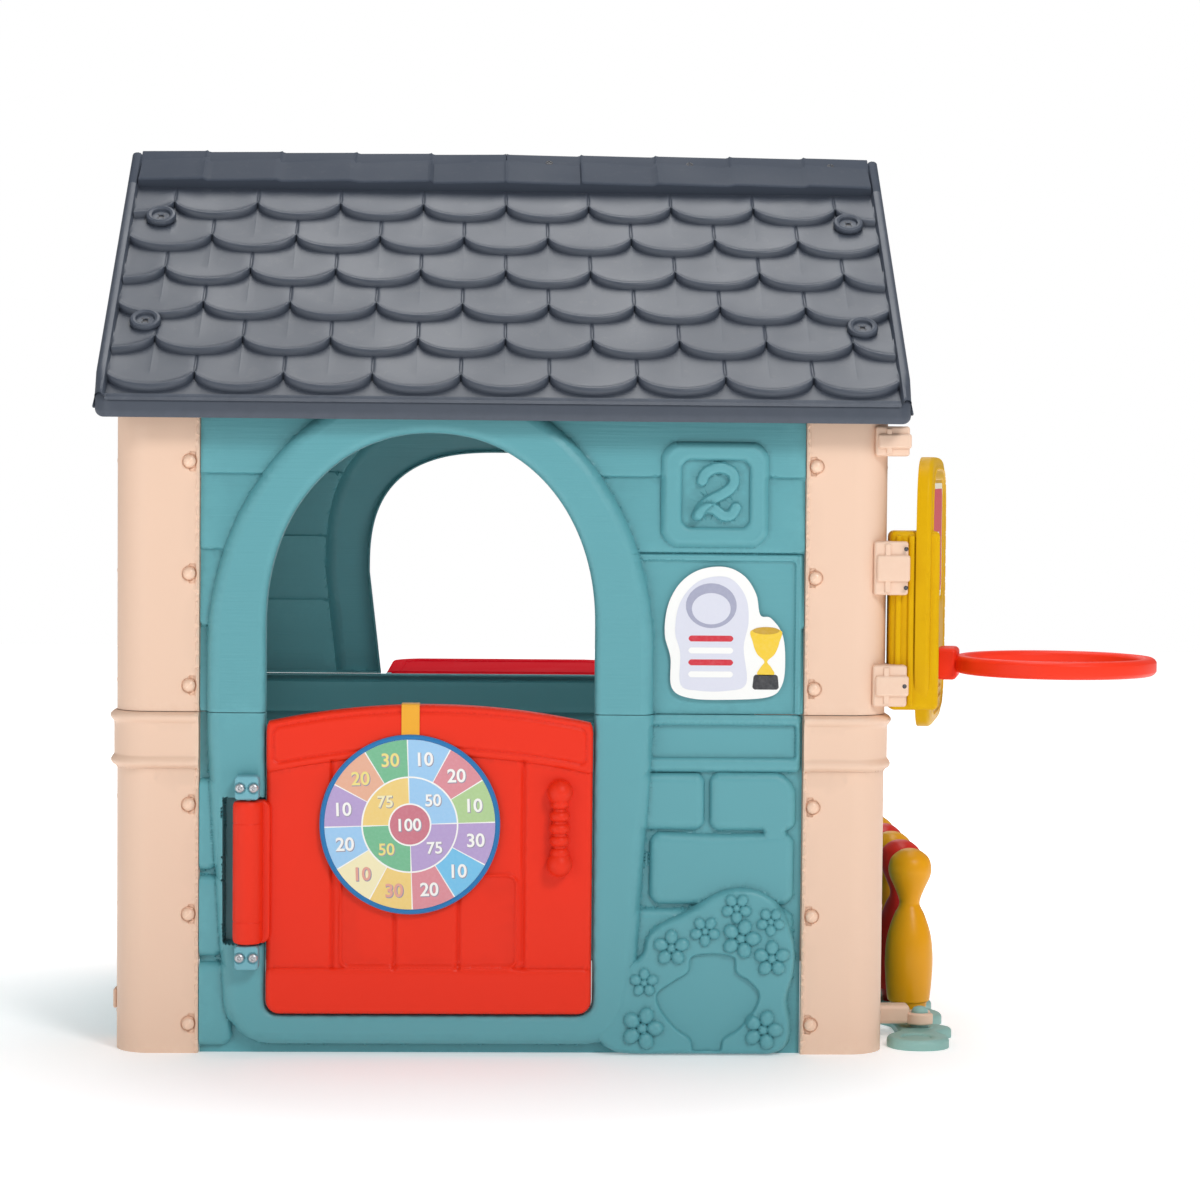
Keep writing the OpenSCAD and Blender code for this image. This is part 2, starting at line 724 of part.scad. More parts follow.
module hoop() {
    reach = 24;
    ring_x = board_t + reach + hoop_d / 2;
    color([0.95, 0.3, 0.18]) at_board() {
        difference() {
            union() {
                translate([ring_x, 0, hoop_z]) cylinder(d = hoop_d, h = 24, $fn = 96);
                translate([board_t, -34, hoop_z]) cube([reach + 30, 68, 24]);
            }
            translate([ring_x, 0, hoop_z - 1]) cylinder(d = hoop_d - 40, h = 26, $fn = 96);
        }
        translate([board_t - 11.8, 0, hoop_z + 12]) rotate([0, 90, 0]) cylinder(d = 8, h = 12, $fn = 32);
    }
}

// Clip around the column's corner that traps the board's spine
module clip(z0, h) {
    color(cream) difference() {
        translate([cx - 22, clip_y0, z0]) cube([48, spine_y1 - clip_y0 - 4, h]);
        translate([0, 0, z0 - 1]) mirror([0, 1, 0]) linear_extrude(h + 2) corner_area(cx, cy, column_r);
        translate([cx + 2, spine_y0 - 0.3, z0 - 1]) cube([60, 100, h + 2]);
        clip_screw_holes();
    }
}

clip_screw_z = [498, 630, 682];
module clip_screw_places() {
    for (z = clip_screw_z) translate([cx + 20, clip_y0, z]) rotate([90, 0, 0]) children();
}
module clip_screw_holes() { clip_screw_places() translate([0, 0, -10]) cylinder(d = 3.2, h = 20, $fn = 24); }
module clip_screws() { color("dimgrey") clip_screw_places() bolt(6, 1.6, 3, 9); }

// ---- bowling ----------------------------------------------------------------------------------

module accessory_arm() {
    color(cream) difference() {
        union() {
            translate([cx, arm_y - 10, 20]) cube([54, 30, 26]);
            translate([skittle_x, arm_y, 20]) cylinder(r = 21, h = 16, $fn = 48);
        }
        translate([skittle_x, arm_y, 10]) cylinder(r = 12, h = 50, $fn = 48);
        translate([skittle_x, arm_y - 12, 10]) cube([40, 24, 50]);
    }
}

module bowling_base() {
    color([0.44, 0.6, 0.6]) {
        difference() {
            union() {
                translate([skittle_x - 11, skittle_y0 - 178, 0]) cylinder(r = 43, h = base_t, $fn = 64);
                translate([skittle_x - 30, skittle_y0 - 178, 0]) cube([52, 178, base_t]);
                translate([skittle_x + 24, arm_y + 6, 0]) cylinder(r = 22, h = base_t, $fn = 48);
                for (i = [0 : skittles - 1]) translate([skittle_x, skittle_y0 + i * skittle_pitch, 0])
                    cylinder(r = 48, h = base_t, $fn = 64);
                translate([skittle_x - 34, skittle_y0, 0]) cube([68, (skittles - 1) * skittle_pitch, base_t]);
            }
            for (i = [0 : skittles - 1]) translate([skittle_x, skittle_y0 + i * skittle_pitch, base_t - 5])
                cylinder(r = 25, h = 10, $fn = 64);
        }
        translate([skittle_x, arm_y, base_t - 1]) cylinder(r = 11.6, h = 31, $fn = 48);
    }
}

// Radius of a bowling pin up its height: [height share, radius]
skittle_shape = [[0, 21], [0.02, 23], [0.09, 27], [0.1, 30], [0.2, 32.5], [0.34, 34], [0.48, 31], [0.6, 22],
                 [0.66, 15], [0.7, 15.5], [0.76, 21], [0.83, 28.5], [0.88, 30.5], [0.94, 27], [0.98, 17]];

module skittle(i) {
    shade = i % 2 == 0 ? toy_yellow : toy_red;
    outer = [for (p = skittle_shape) [p[1], p[0] * skittle_h]];
    inner = [for (k = [len(outer) - 1 : -1 : 0]) [outer[k][0] - 3, max(3, min(outer[k][1], skittle_h - 8))]];
    color(shade) translate([skittle_x, skittle_y0 + i * skittle_pitch, base_t - 4.7])
        rotate_extrude($fn = 64) polygon(concat([[8, 0]], outer, [[0, skittle_h], [0, skittle_h - 3]],
            inner, [[8, 3]]));
}

module left_hook() {
    color(cream) translate([-cx - 5, -cy + 46, 52]) difference() {
        cube([5, 24, 26]);
        translate([-1, 6, 6]) cube([4, 12, 14]);
    }
}

// ---- placing ------------------------------------------------------------------------------------

module placed() { translate([0, front_y, 0]) children(); }

placed() lower_front_wall();
placed() upper_front_wall();
placed() lower_back_wall();
placed() upper_back_wall();
placed() lower_side_wall(-1);  // lower_left_wall
placed() upper_side_wall(-1);  // upper_left_wall
placed() lower_side_wall(1);  // lower_right_wall
placed() upper_side_wall(1);  // upper_right_wall
placed() lower_column(-1, -1);  // lower_column_front_left
placed() lower_column(1, -1);  // lower_column_front_right
placed() lower_column(-1, 1);  // lower_column_rear_left
placed() lower_column(1, 1);  // lower_column_rear_right
placed() upper_column(-1, -1);  // upper_column_front_left
placed() upper_column(1, -1);  // upper_column_front_right
placed() upper_column(-1, 1);  // upper_column_rear_left
placed() upper_column(1, 1);  // upper_column_rear_right
placed() corner_bolts(-1, -1);  // bolts_front_left
placed() corner_bolts(1, -1);  // bolts_front_right
placed() corner_bolts(-1, 1);  // bolts_rear_left
placed() corner_bolts(1, 1);  // bolts_rear_right
placed() roof_front();
placed() roof_rear();
placed() roof_screws();
placed() gable(-1);  // gable_left
placed() gable(1);  // gable_right
placed() door();
placed() hinge_pin();
placed() hinge_bracket(barrel_z1 + 2, true);  // upper_hinge_bracket
placed() hinge_bracket(barrel_z0 - 2 - bracket_h, false);  // lower_hinge_bracket
placed() hinge_screws();
placed() dartboard();
placed() dartboard_strap();
placed() strap_loop();
placed() counter();
placed() counter_pin();
placed() counter_brackets();
placed() counter_bracket_screws();
placed() backboard();
placed() hoop();
placed() clip(806, 40);  // top_clip
placed() clip(620, 72);  // middle_clip
placed() clip(470, 56);  // lower_clip
placed() clip_screws();
placed() accessory_arm();
placed() left_hook();
placed() bowling_base();
placed() skittle(0);  // skittle_1
placed() skittle(1);  // skittle_2
placed() skittle(2);  // skittle_3
placed() skittle(3);  // skittle_4
placed() skittle(4);  // skittle_5
placed() skittle(5);  // skittle_6
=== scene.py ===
"""Toy playhouse: moulded walls, tiled roof, half door, counter, basketball ring and bowling set.

Builders work in millimetres around the middle of the house, and piece() turns that into
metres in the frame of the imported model.
"""

import math

import bmesh
import bpy
import numpy as np
from mathutils import Matrix, Vector
from mathutils.geometry import delaunay_2d_cdt


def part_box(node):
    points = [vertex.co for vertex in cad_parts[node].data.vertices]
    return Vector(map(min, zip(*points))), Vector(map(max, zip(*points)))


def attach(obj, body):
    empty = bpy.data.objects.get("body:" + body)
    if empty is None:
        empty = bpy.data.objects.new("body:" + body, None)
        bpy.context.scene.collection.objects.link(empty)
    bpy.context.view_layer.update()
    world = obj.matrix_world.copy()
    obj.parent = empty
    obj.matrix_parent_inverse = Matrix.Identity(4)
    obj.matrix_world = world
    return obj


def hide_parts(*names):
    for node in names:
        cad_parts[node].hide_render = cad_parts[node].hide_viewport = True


bl_info = {
    "name": "Toy Playhouse",
    "version": (1, 0, 0),
    "blender": (4, 5, 0),
    "location": "View3D > Sidebar > Playhouse",
    "description": "Builds the looks of a moulded toy playhouse around its packed model",
    "category": "Object",
}

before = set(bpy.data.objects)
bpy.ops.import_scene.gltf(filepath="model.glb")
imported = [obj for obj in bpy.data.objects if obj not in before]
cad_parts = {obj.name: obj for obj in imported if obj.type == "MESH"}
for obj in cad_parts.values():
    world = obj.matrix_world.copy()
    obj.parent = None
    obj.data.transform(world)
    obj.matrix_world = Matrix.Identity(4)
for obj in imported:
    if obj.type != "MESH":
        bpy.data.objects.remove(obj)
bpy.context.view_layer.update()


# ---- measures taken from the frame, in millimetres ---------------------------------------

def cad_box(node):
    """Lowest and highest corner of a CAD node around the middle of the house."""
    lo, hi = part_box(node)
    return np.array(lo) * 1000 - HOUSE_MIDDLE, np.array(hi) * 1000 - HOUSE_MIDDLE


HOUSE_MIDDLE = np.zeros(3)
_near, _far = cad_box("upper_column_front_right"), cad_box("upper_column_rear_right")
HOUSE_MIDDLE[1] = (_near[0][1] + _far[1][1]) / 2
HALF_W = _near[1][0]
HALF_D = _far[1][1] - HOUSE_MIDDLE[1]
WALL_TOP = _near[1][2]
SEAM_Z = cad_box("lower_front_wall")[1][2]
COLUMN_PROUD = 10
FRONT = HALF_D - COLUMN_PROUD
SIDE = HALF_W - COLUMN_PROUD
COLUMN_LEG = 114
COLUMN_R = 50
EDGE_X = HALF_W - COLUMN_LEG
EDGE_Y = HALF_D - COLUMN_LEG
SURROUND = -FRONT - cad_box("upper_front_wall")[0][1]
SKIN = 3.2
SEAM_GAP = 0.5
BELT_Z = (377, SEAM_Z)
STONE_PROUD = 11

DOOR_X = -96
DOOR_A = 219
DOORWAY_TOP = 831
SPRING_Z = 576
SILL_Z = 54
LEAF_LO, LEAF_HI = cad_box("door")
LEAF_LO[0] = DOOR_X - 217
DISC_LO, DISC_HI = cad_box("dartboard")
DISC = (DISC_LO + DISC_HI) / 2
DISC_R = (DISC_HI[0] - DISC_LO[0]) / 2
HINGE = np.array([DOOR_X - 240, -(FRONT + SURROUND + 10)])
BARREL_Z = (152, 342)

ROOF_LO, ROOF_HI = cad_box("roof_front")
ROOF_HALF = ROOF_HI[0]
EAVE_Y = ROOF_LO[1]
EAVE_Z = ROOF_LO[2]
RIDGE_Z = ROOF_HI[2]
DECK_Z0 = EAVE_Z + 18
DECK_Z1 = RIDGE_Z - 13
PITCH = math.atan2(DECK_Z1 - DECK_Z0, -EAVE_Y)
SLOPE = -EAVE_Y / math.cos(PITCH)
TILE_ROWS = 6
FIRST_ROW = 18
CAP_S = 0.862 * SLOPE
ROW_PITCH = (CAP_S - FIRST_ROW) / TILE_ROWS
TILE_W = 2 * (ROOF_HALF - 12) / 9

BOARD_AT = np.array([578, -218])
BOARD_TURN = math.radians(-12)
BOARD_T = 28
BOARD_HALF = 155
BOARD_Z = (436, 806)
HOOP_R = 139
HOOP_Z = 508
SKITTLE_X = HALF_W + 65
SKITTLE_Y0 = -145
SKITTLE_PITCH = 100
ARM_Y = -262


# ---- outlines ------------------------------------------------------------------------------

def area(line):
    """Signed area within a closed line."""
    x, y = line[:, 0], line[:, 1]
    return 0.5 * float(np.sum(x * np.roll(y, -1) - y * np.roll(x, -1)))


def resample(line, step, closed=True):
    """The line with extra points, so that no stretch is longer than step."""
    line = np.asarray(line, float)
    if closed and area(line) < 0:
        line = line[::-1]
    ends = np.roll(line, -1, axis=0) if closed else line[1:]
    out = []
    for a, b in zip(line, ends):
        count = max(1, int(math.ceil(np.linalg.norm(b - a) / step)))
        out.append(a + (b - a) * np.arange(count)[:, None] / count)
    if not closed:
        out.append(line[-1:])
    out = np.concatenate(out)
    gap = np.linalg.norm(out - np.roll(out, 1, axis=0), axis=1)
    keep = gap > 1e-3
    keep[0] = keep[0] or not closed
    return out[keep]


def inward(path, closed=True):
    """Unit normals to the left of the path, which is inwards on a counter-clockwise loop."""
    if closed:
        along = np.roll(path, -1, axis=0) - np.roll(path, 1, axis=0)
    else:
        along = np.gradient(path, axis=0)
    normal = np.stack([-along[:, 1], along[:, 0]], axis=1)
    return normal / np.maximum(np.linalg.norm(normal, axis=1, keepdims=True), 1e-9)


def rounded(corners, radius, steps=6):
    """A polygon whose corners are rounded, by one radius or a list of them."""
    corners = np.asarray(corners, float)
    if area(corners) < 0:
        corners = corners[::-1]
    count = len(corners)
    radii = np.full(count, radius) if np.isscalar(radius) else np.asarray(radius, float)
    out = []
    for i in range(count):
        here, before, after = corners[i], corners[i - 1], corners[(i + 1) % count]
        a, b = before - here, after - here
        la, lb = np.linalg.norm(a), np.linalg.norm(b)
        a, b = a / la, b / lb
        half = math.acos(max(-1.0, min(1.0, float(a @ b)))) / 2
        reach = min(radii[i] / max(math.tan(half), 1e-6), 0.48 * la, 0.48 * lb)
        p, q = here + a * reach, here + b * reach
        for t in np.linspace(0, 1, steps + 1):
            out.append((1 - t) ** 2 * p + 2 * t * (1 - t) * (0.45 * here + 0.275 * (p + q)) + t * t * q)
    return np.array(out)


def rectangle(x0, x1, z0, z1, radius=0.0):
    """Outline of a rectangle, with rounded corners if a radius is given."""
    corners = [(x0, z0), (x1, z0), (x1, z1), (x0, z1)]
    return rounded(corners, radius) if radius else np.array(corners, float)


def ellipse(x, z, rx, rz, turn=0.0, count=28):
    """Outline of an ellipse, turned by an angle."""
    t = np.linspace(0, 2 * math.pi, count, endpoint=False)
    c, s = math.cos(turn), math.sin(turn)
    px, pz = rx * np.cos(t), rz * np.sin(t)
    return np.stack([x + c * px - s * pz, z + s * px + c * pz], axis=1)


def arch(x, a, z, b, fullness, count=40):
    """The half ring of a squarish arch, from its right end over the top to its left end."""
    t = np.linspace(0, math.pi, count)
    c, s = np.cos(t), np.sin(t)
    return np.stack([x + a * np.sign(c) * np.abs(c) ** (2 / fullness),
            z + b * s ** (2 / fullness)], axis=1)


def quarter(x, z, r, start):
    """A quarter of a circle from a starting angle."""
    t = np.radians(start + np.linspace(0, 90, 7))
    return np.stack([x + r * np.cos(t), z + r * np.sin(t)], axis=1)


def curve_through(points, closed=False, steps=8):
    """A smooth line through the points."""
    p = np.asarray(points, float)
    if closed:
        p = np.concatenate([p[-1:], p, p[:2]])
    else:
        p = np.concatenate([2 * p[:1] - p[1:2], p, 2 * p[-1:] - p[-2:-1]])
    out = []
    for i in range(1, len(p) - 2):
        t = np.linspace(0, 1, steps, endpoint=False)[:, None]
        out.append(0.5 * (2 * p[i] + (p[i + 1] - p[i - 1]) * t
                + (2 * p[i - 1] - 5 * p[i] + 4 * p[i + 1] - p[i + 2]) * t ** 2
                + (3 * p[i] - p[i - 1] - 3 * p[i + 1] + p[i + 2]) * t ** 3))
    if not closed:
        out.append(p[-2:-1])
    return np.concatenate(out)


def cut_at(line, height, above):
    """The part of a loop above or below a height, closed along it."""
    keep, out = (lambda z: z >= height) if above else (lambda z: z <= height), []
    for a, b in zip(line, np.roll(line, -1, axis=0)):
        if keep(a[1]):
            out.append(a)
        if keep(a[1]) != keep(b[1]):
            out.append(a + (b - a) * (height - a[1]) / (b[1] - a[1]))
    return np.array(out)


# ---- distances and profiles --------------------------------------------------------------------

def distance(points, line, closed=True):
    """Distance from each point to the line."""
    a = line if closed else line[:-1]
    b = np.roll(line, -1, axis=0) if closed else line[1:]
    ab = b - a
    length = np.maximum((ab ** 2).sum(1), 1e-12)
    out = np.empty(len(points))
    for i in range(0, len(points), 2000):
        p = points[i:i + 2000, None, :]
        t = np.clip(((p - a) * ab).sum(2) / length, 0, 1)
        out[i:i + 2000] = np.sqrt(((p - a - t[..., None] * ab) ** 2).sum(2).min(1))
    return out


def inside(points, loop):
    """True for each point within the loop."""
    x, y = points[:, 0], points[:, 1]
    out = np.zeros(len(points), bool)
    for (x0, y0), (x1, y1) in zip(loop, np.roll(loop, -1, axis=0)):
        if y0 != y1:
            crossing = (y0 > y) != (y1 > y)
            out ^= crossing & (x < (x1 - x0) * (y - y0) / (y1 - y0) + x0)
    return out


def near(points, line, margin):
    """Which points lie within a margin of the line."""
    lo, hi = line.min(0) - margin, line.max(0) + margin
    return np.all((points > lo) & (points < hi), axis=1)


def quarter_round(t):
    """Steep at 0 and level at 1."""
    t = np.clip(t, 0, 1)
    return np.sqrt(1 - (1 - t) ** 2)


RING_STEPS = np.array([0, 0.03, 0.12, 0.3, 0.58, 1.0])


class Relief:
    """A moulded face: a sheet within an outline, with raised, sunk and rolled shapes."""

    def __init__(self, outline, holes=(), step=6.0, fill=26.0, base=None):
        self.loops = [resample(loop, step) for loop in (outline, *holes)]
        self.fill = fill
        self.base = base
        self.extra = []
        self.rules = []

    def ring_points(self, line, offsets, closed, step):
        path = resample(line, step, closed)
        normal = inward(path, closed)
        self.extra += [path + normal * d for d in offsets]
        return path

    def raise_(self, loop, height, edge=8.0, draft=1.5, level=False, step=5.0):
        """Raises or sinks the inside of a loop with a rounded upper edge; level gives its final height."""
        up = height > 0 or level
        span = RING_STEPS * (edge + draft)
        offsets = span - draft if up else draft - span
        offsets = np.concatenate([offsets, [offsets.min() - 2.5, offsets.min() - 8, offsets.max() + 2.5,
                offsets.max() + 8]])
        path = self.ring_points(loop, offsets, True, step)

        def rule(p, h):
            close = near(p, path, draft + edge)
            d = distance(p[close], path)
            d[~inside(p[close], path)] *= -1
            t = (d + draft) / (edge + draft)
            share = quarter_round(t) if up else 1 - quarter_round(1 - (d + edge) / (edge + draft))
            target = height - h[close] if level else height
            h[close] += target * share
            return h
        self.rules.append(rule)
        return self

    def bead(self, line, height, half, closed=True, step=5.0):
        """A rounded rib along a line, or a groove where the height is negative."""
        path = self.ring_points(line, half * np.array([-1, -0.6, -0.3, 0, 0.3, 0.6, 1]), closed, step)

        def rule(p, h):
            close = near(p, path, half)
            d = distance(p[close], path, closed)
            h[close] += height * np.cos(np.clip(d / half, 0, 1) * math.pi / 2) ** 2
            return h
        self.rules.append(rule)
        return self

    def roll(self, line, radius, closed=True, step=5.0):
        """Rounds the sheet off towards a line at its edge."""
        steps = radius * np.array([0.07, 0.16, 0.32, 0.6, 1, 1.4, 2.2])
        self.ring_points(line, np.concatenate([-steps, steps]), closed, step)
        path = resample(line, step, closed)

        def rule(p, h):
            close = near(p, path, radius)
            d = distance(p[close], path, closed)
            h[close] -= radius * (1 - quarter_round(d / radius + 0.01))
            return h
        self.rules.append(rule)
        return self

    def stroke(self, line, height, half, step=2.5):
        """A raised stroke with a round top and round ends."""
        path = resample(line, step, False)
        normal = inward(path, False)
        for d in half * np.array([-1, -0.93, -0.7, -0.35, 0, 0.35, 0.7, 0.93, 1]):
            self.extra.append(path + normal * d)
        for end in (path[0], path[-1]):
            for r in (0.4, 0.75, 0.95, 1.0):
                self.extra.append(ellipse(end[0], end[1], half * r, half * r, count=16))

        def rule(p, h):
            close = near(p, path, half)
            d = distance(p[close], path, False)
            h[close] += height * quarter_round((half - d) / (0.55 * half))
            return h
        self.rules.append(rule)
        return self

    def heights(self, p):
        h = self.base(p) if self.base else np.zeros(len(p))
        for rule in self.rules:
            h = rule(p, h)
        return h

    def build(self, depth):
        """Vertices (right, up, out) and faces of the sheet, with its edges turned in to the depth."""
        lo, hi = self.loops[0].min(0), self.loops[0].max(0)
        gx, gy = (np.arange(a + self.fill / 2, b, self.fill) for a, b in zip(lo, hi))
        grid = np.stack(np.meshgrid(gx, gy), axis=-1).reshape(-1, 2)
        inner = np.concatenate([grid, *self.extra])
        inner = np.unique(np.round(inner * 4) / 4, axis=0)
        keep = inside(inner, self.loops[0])
        for hole in self.loops[1:]:
            keep &= ~inside(inner, hole)
        inner = inner[keep]
        for loop in self.loops:
            inner = inner[distance(inner, loop) > 0.45]
        edges, start = [], 0
        for loop in self.loops:
            n = len(loop)
            edges += [(start + i, start + (i + 1) % n) for i in range(n)]
            start += n
        flat = np.concatenate([*self.loops, inner])
        made = delaunay_2d_cdt([Vector(p) for p in flat], edges, [], 0, 1e-5)
        p = np.array([tuple(v) for v in made[0]])
        tris = np.array([f for f in made[2] if len(f) == 3])
        middle = p[tris].mean(1)
        keep = inside(middle, self.loops[0])
        for hole in self.loops[1:]:
            keep &= ~inside(middle, hole)
        tris = tris[keep]
        turned = np.cross(p[tris[:, 1]] - p[tris[:, 0]], p[tris[:, 2]] - p[tris[:, 0]]) < 0
        tris[turned] = tris[turned][:, ::-1]
        verts = np.column_stack([p, self.heights(p)])
        faces = tris.tolist()
        pairs = np.concatenate([tris[:, [0, 1]], tris[:, [1, 2]], tris[:, [2, 0]]])
        code = pairs[:, 0] * len(p) + pairs[:, 1]
        back = pairs[:, 1] * len(p) + pairs[:, 0]
        rim = pairs[~np.isin(code, back)]
        ids = np.unique(rim)
        low = verts[ids].copy()
        low[:, 2] = depth(low[:, :2]) if callable(depth) else depth
        place = np.zeros(len(p), int)
        place[ids] = len(p) + np.arange(len(ids))
        faces += [[a, place[a], place[b], b] for a, b in rim]
        return np.concatenate([verts, low]), faces


# ---- solid shapes --------------------------------------------------------------------------------

def lathe(profile, count=40):
    """Turns (radius, height) points about Z. Points of no radius become poles."""
    verts, faces, rings = [], [], []
    for r, z in profile:
        if r < 1e-6:
            rings.append([len(verts)])
            verts.append((0, 0, z))
        else:
            t = np.linspace(0, 2 * math.pi, count, endpoint=False)
            rings.append(list(range(len(verts), len(verts) + count)))
            verts += [(r * math.cos(a), r * math.sin(a), z) for a in t]
    for low, high in zip(rings, rings[1:]):
        for i in range(count):
            j = (i + 1) % count
            quad = [low[i % len(low)], low[j % len(low)], high[j % len(high)], high[i % len(high)]]
            face = [v for k, v in enumerate(quad) if v not in quad[:k]]
            if len(face) > 2:
                faces.append(face)
    return np.array(verts, float), faces


def sweep(path, section, closed=False, up=(0, 0, 1)):
    """Carries a closed section, as (side, up) points, along a path."""
    path = np.asarray(path, float)
    if closed:
        along = np.roll(path, -1, axis=0) - np.roll(path, 1, axis=0)
    else:
        along = np.gradient(path, axis=0)
    along /= np.linalg.norm(along, axis=1, keepdims=True)
    side = np.cross(along, np.asarray(up, float))
    side /= np.linalg.norm(side, axis=1, keepdims=True)
    top = np.cross(side, along)
    section = np.asarray(section, float)
    n, m = len(path), len(section)
    verts = (path[:, None] + side[:, None] * section[None, :, :1] + top[:, None] * section[None, :,
            1:]).reshape(-1, 3)
    faces = []
    for i in range(n if closed else n - 1):
        for j in range(m):
            a, b = i * m + j, i * m + (j + 1) % m
            c, d = (i + 1) % n * m + (j + 1) % m, (i + 1) % n * m + j
            faces.append([a, d, c, b])
    if not closed:
        faces.append(list(range(m)))
        faces.append(list(range((n - 1) * m, n * m))[::-1])
    return verts, faces


def block(lo, hi, radius, segments=4):
    """A box with rounded edges."""
    mesh = bmesh.new()
    bmesh.ops.create_cube(mesh, size=1)
    size = Vector(hi) - Vector(lo)
    bmesh.ops.scale(mesh, vec=size, verts=mesh.verts)
    bmesh.ops.translate(mesh, vec=(Vector(hi) + Vector(lo)) / 2, verts=mesh.verts)
    bmesh.ops.bevel(mesh, geom=mesh.edges[:], offset=radius, segments=segments, profile=0.5, affect="EDGES")
    verts = np.array([v.co[:] for v in mesh.verts])
    faces = [[v.index for v in f.verts] for f in mesh.faces]
    mesh.free()
    return verts, faces


def prism(loop, z0, z1, edge, steps=4):
    """An upright plate with the loop's outline and rounded upper and lower edges."""
    loop = resample(loop, 1e9)
    normal = inward(loop)
    rings = []
    for a in np.linspace(0, math.pi / 2, steps + 1):
        rings.append((edge * (1 - math.sin(a)), z0 + edge * (1 - math.cos(a))))
    for a in np.linspace(0, math.pi / 2, steps + 1):
        rings.append((edge * (1 - math.cos(a)), z1 - edge * (1 - math.sin(a))))
    verts, faces, n = [], [], len(loop)
    for inset, z in rings:
        verts.append(np.column_stack([loop + normal * inset, np.full(n, z)]))
    for k in range(len(rings) - 1):
        for i in range(n):
            j = (i + 1) % n
            faces.append([k * n + i, k * n + j, (k + 1) * n + j, (k + 1) * n + i])
    faces.append(list(range(n))[::-1])
    faces.append(list(range((len(rings) - 1) * n, len(rings) * n)))
    return np.concatenate(verts), faces


def moved(shape, matrix):
    """The shape through a matrix, turned inside out again if that mirrors it."""
    verts, faces = shape
    m = np.array(matrix)
    if np.linalg.det(m[:3, :3]) < 0:
        faces = [face[::-1] for face in faces]
    return verts @ m[:3, :3].T + m[:3, 3], faces


def shifted(shape, *by):
    """The shape moved by x, y, z."""
    return shape[0] + np.array(by, float), shape[1]


def bent(shape, bend):
    """A shape whose (right, up, out) points are placed by a mapping."""
    return bend(shape[0]), shape[1]


def axis_turn(direction):
    """Rotation that takes Z to the direction."""
    return Vector(direction).to_track_quat("Z", "Y").to_matrix().to_4x4()


def at(shape, place, direction=(0, 0, 1)):
    """The shape moved to a place, with its own up turned to a direction."""
    return moved(shape, Matrix.Translation(Vector(place)) @ axis_turn(direction))


# ---- places of faces -----------------------------------------------------------------------------

def on_front(p):
    """Places (x, up, out) on the front wall."""
    return np.column_stack([p[:, 0], -(FRONT + p[:, 2]), p[:, 1]])


def on_back(p):
    """Places (x, up, out) on the back wall."""
    return np.column_stack([-p[:, 0], FRONT + p[:, 2], p[:, 1]])


def on_left(p):
    """Places (y, up, out) on the left wall."""
    return np.column_stack([-(SIDE + p[:, 2]), -p[:, 0], p[:, 1]])


def on_right(p):
    """Places (y, up, out) on the right wall."""
    return np.column_stack([SIDE + p[:, 2], p[:, 0], p[:, 1]])


def slope_point(s, n):
    """(y, z) on the front slope, s up it from the eave and n out of its underside."""
    return EAVE_Y + s * math.cos(PITCH) - n * math.sin(PITCH), DECK_Z0 + s * math.sin(PITCH) + n * math.cos(PITCH)


def on_board(p):
    """(across, up, out) on the front face of the backboard."""
    c, s = math.cos(BOARD_TURN), math.sin(BOARD_TURN)
    out = BOARD_T + p[:, 2]
    return np.column_stack([BOARD_AT[0] + c * out - s * p[:, 0], BOARD_AT[1] + s * out + c * p[:, 0],
            p[:, 1]])


# ---- pieces --------------------------------------------------------------------------------------

def piece(name, shapes, finishes, body="root", replaces=(), slot=None, skin=0.0, sharp=38.0, weighted=True):
    """One object from several (vertices, faces) shapes, each with its finish."""
    verts, faces, slots, start = [], [], [], 0
    used = []
    for (v, f), finish in zip(shapes, finishes):
        if finish not in used:
            used.append(finish)
        verts.append(v)
        faces += [[i + start for i in face] for face in f]
        slots += [used.index(finish)] * len(f)
        start += len(v)
    mesh = bpy.data.meshes.new(name)
    metres = (np.concatenate(verts) + HOUSE_MIDDLE) / 1000
    mesh.from_pydata(metres.tolist(), [], faces)
    mesh.polygons.foreach_set("material_index", slots)
    joined = bmesh.new()
    joined.from_mesh(mesh)
    bmesh.ops.remove_doubles(joined, verts=joined.verts, dist=5e-6)
    joined.to_mesh(mesh)
    joined.free()
    mesh.validate()
    for finish in used:
        mesh.materials.append(material(finish))
    mesh.shade_smooth()
    mesh.set_sharp_from_angle(angle=math.radians(sharp))
    obj = bpy.data.objects.new(name, mesh)
    bpy.context.scene.collection.objects.link(obj)
    if skin:
        shell = obj.modifiers.new("Skin", "SOLIDIFY")
        shell.thickness = skin / 1000
        shell.offset = -1
    if weighted:
        obj.modifiers.new("Even shading", "WEIGHTED_NORMAL").keep_sharp = True
    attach(obj, body)
    if replaces:
        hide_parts(*replaces)
    return obj


def sheet_piece(name, relief, bend, finish, depth=-SKIN, more=(), **where):
    """A moulded sheet with further shapes joined to it."""
    shapes = [bent(relief.build(depth), bend)] + [shape for shape, _ in more]
    return piece(name, shapes, [finish] + [f for _, f in more], **where)


# ---- materials -----------------------------------------------------------------------------------

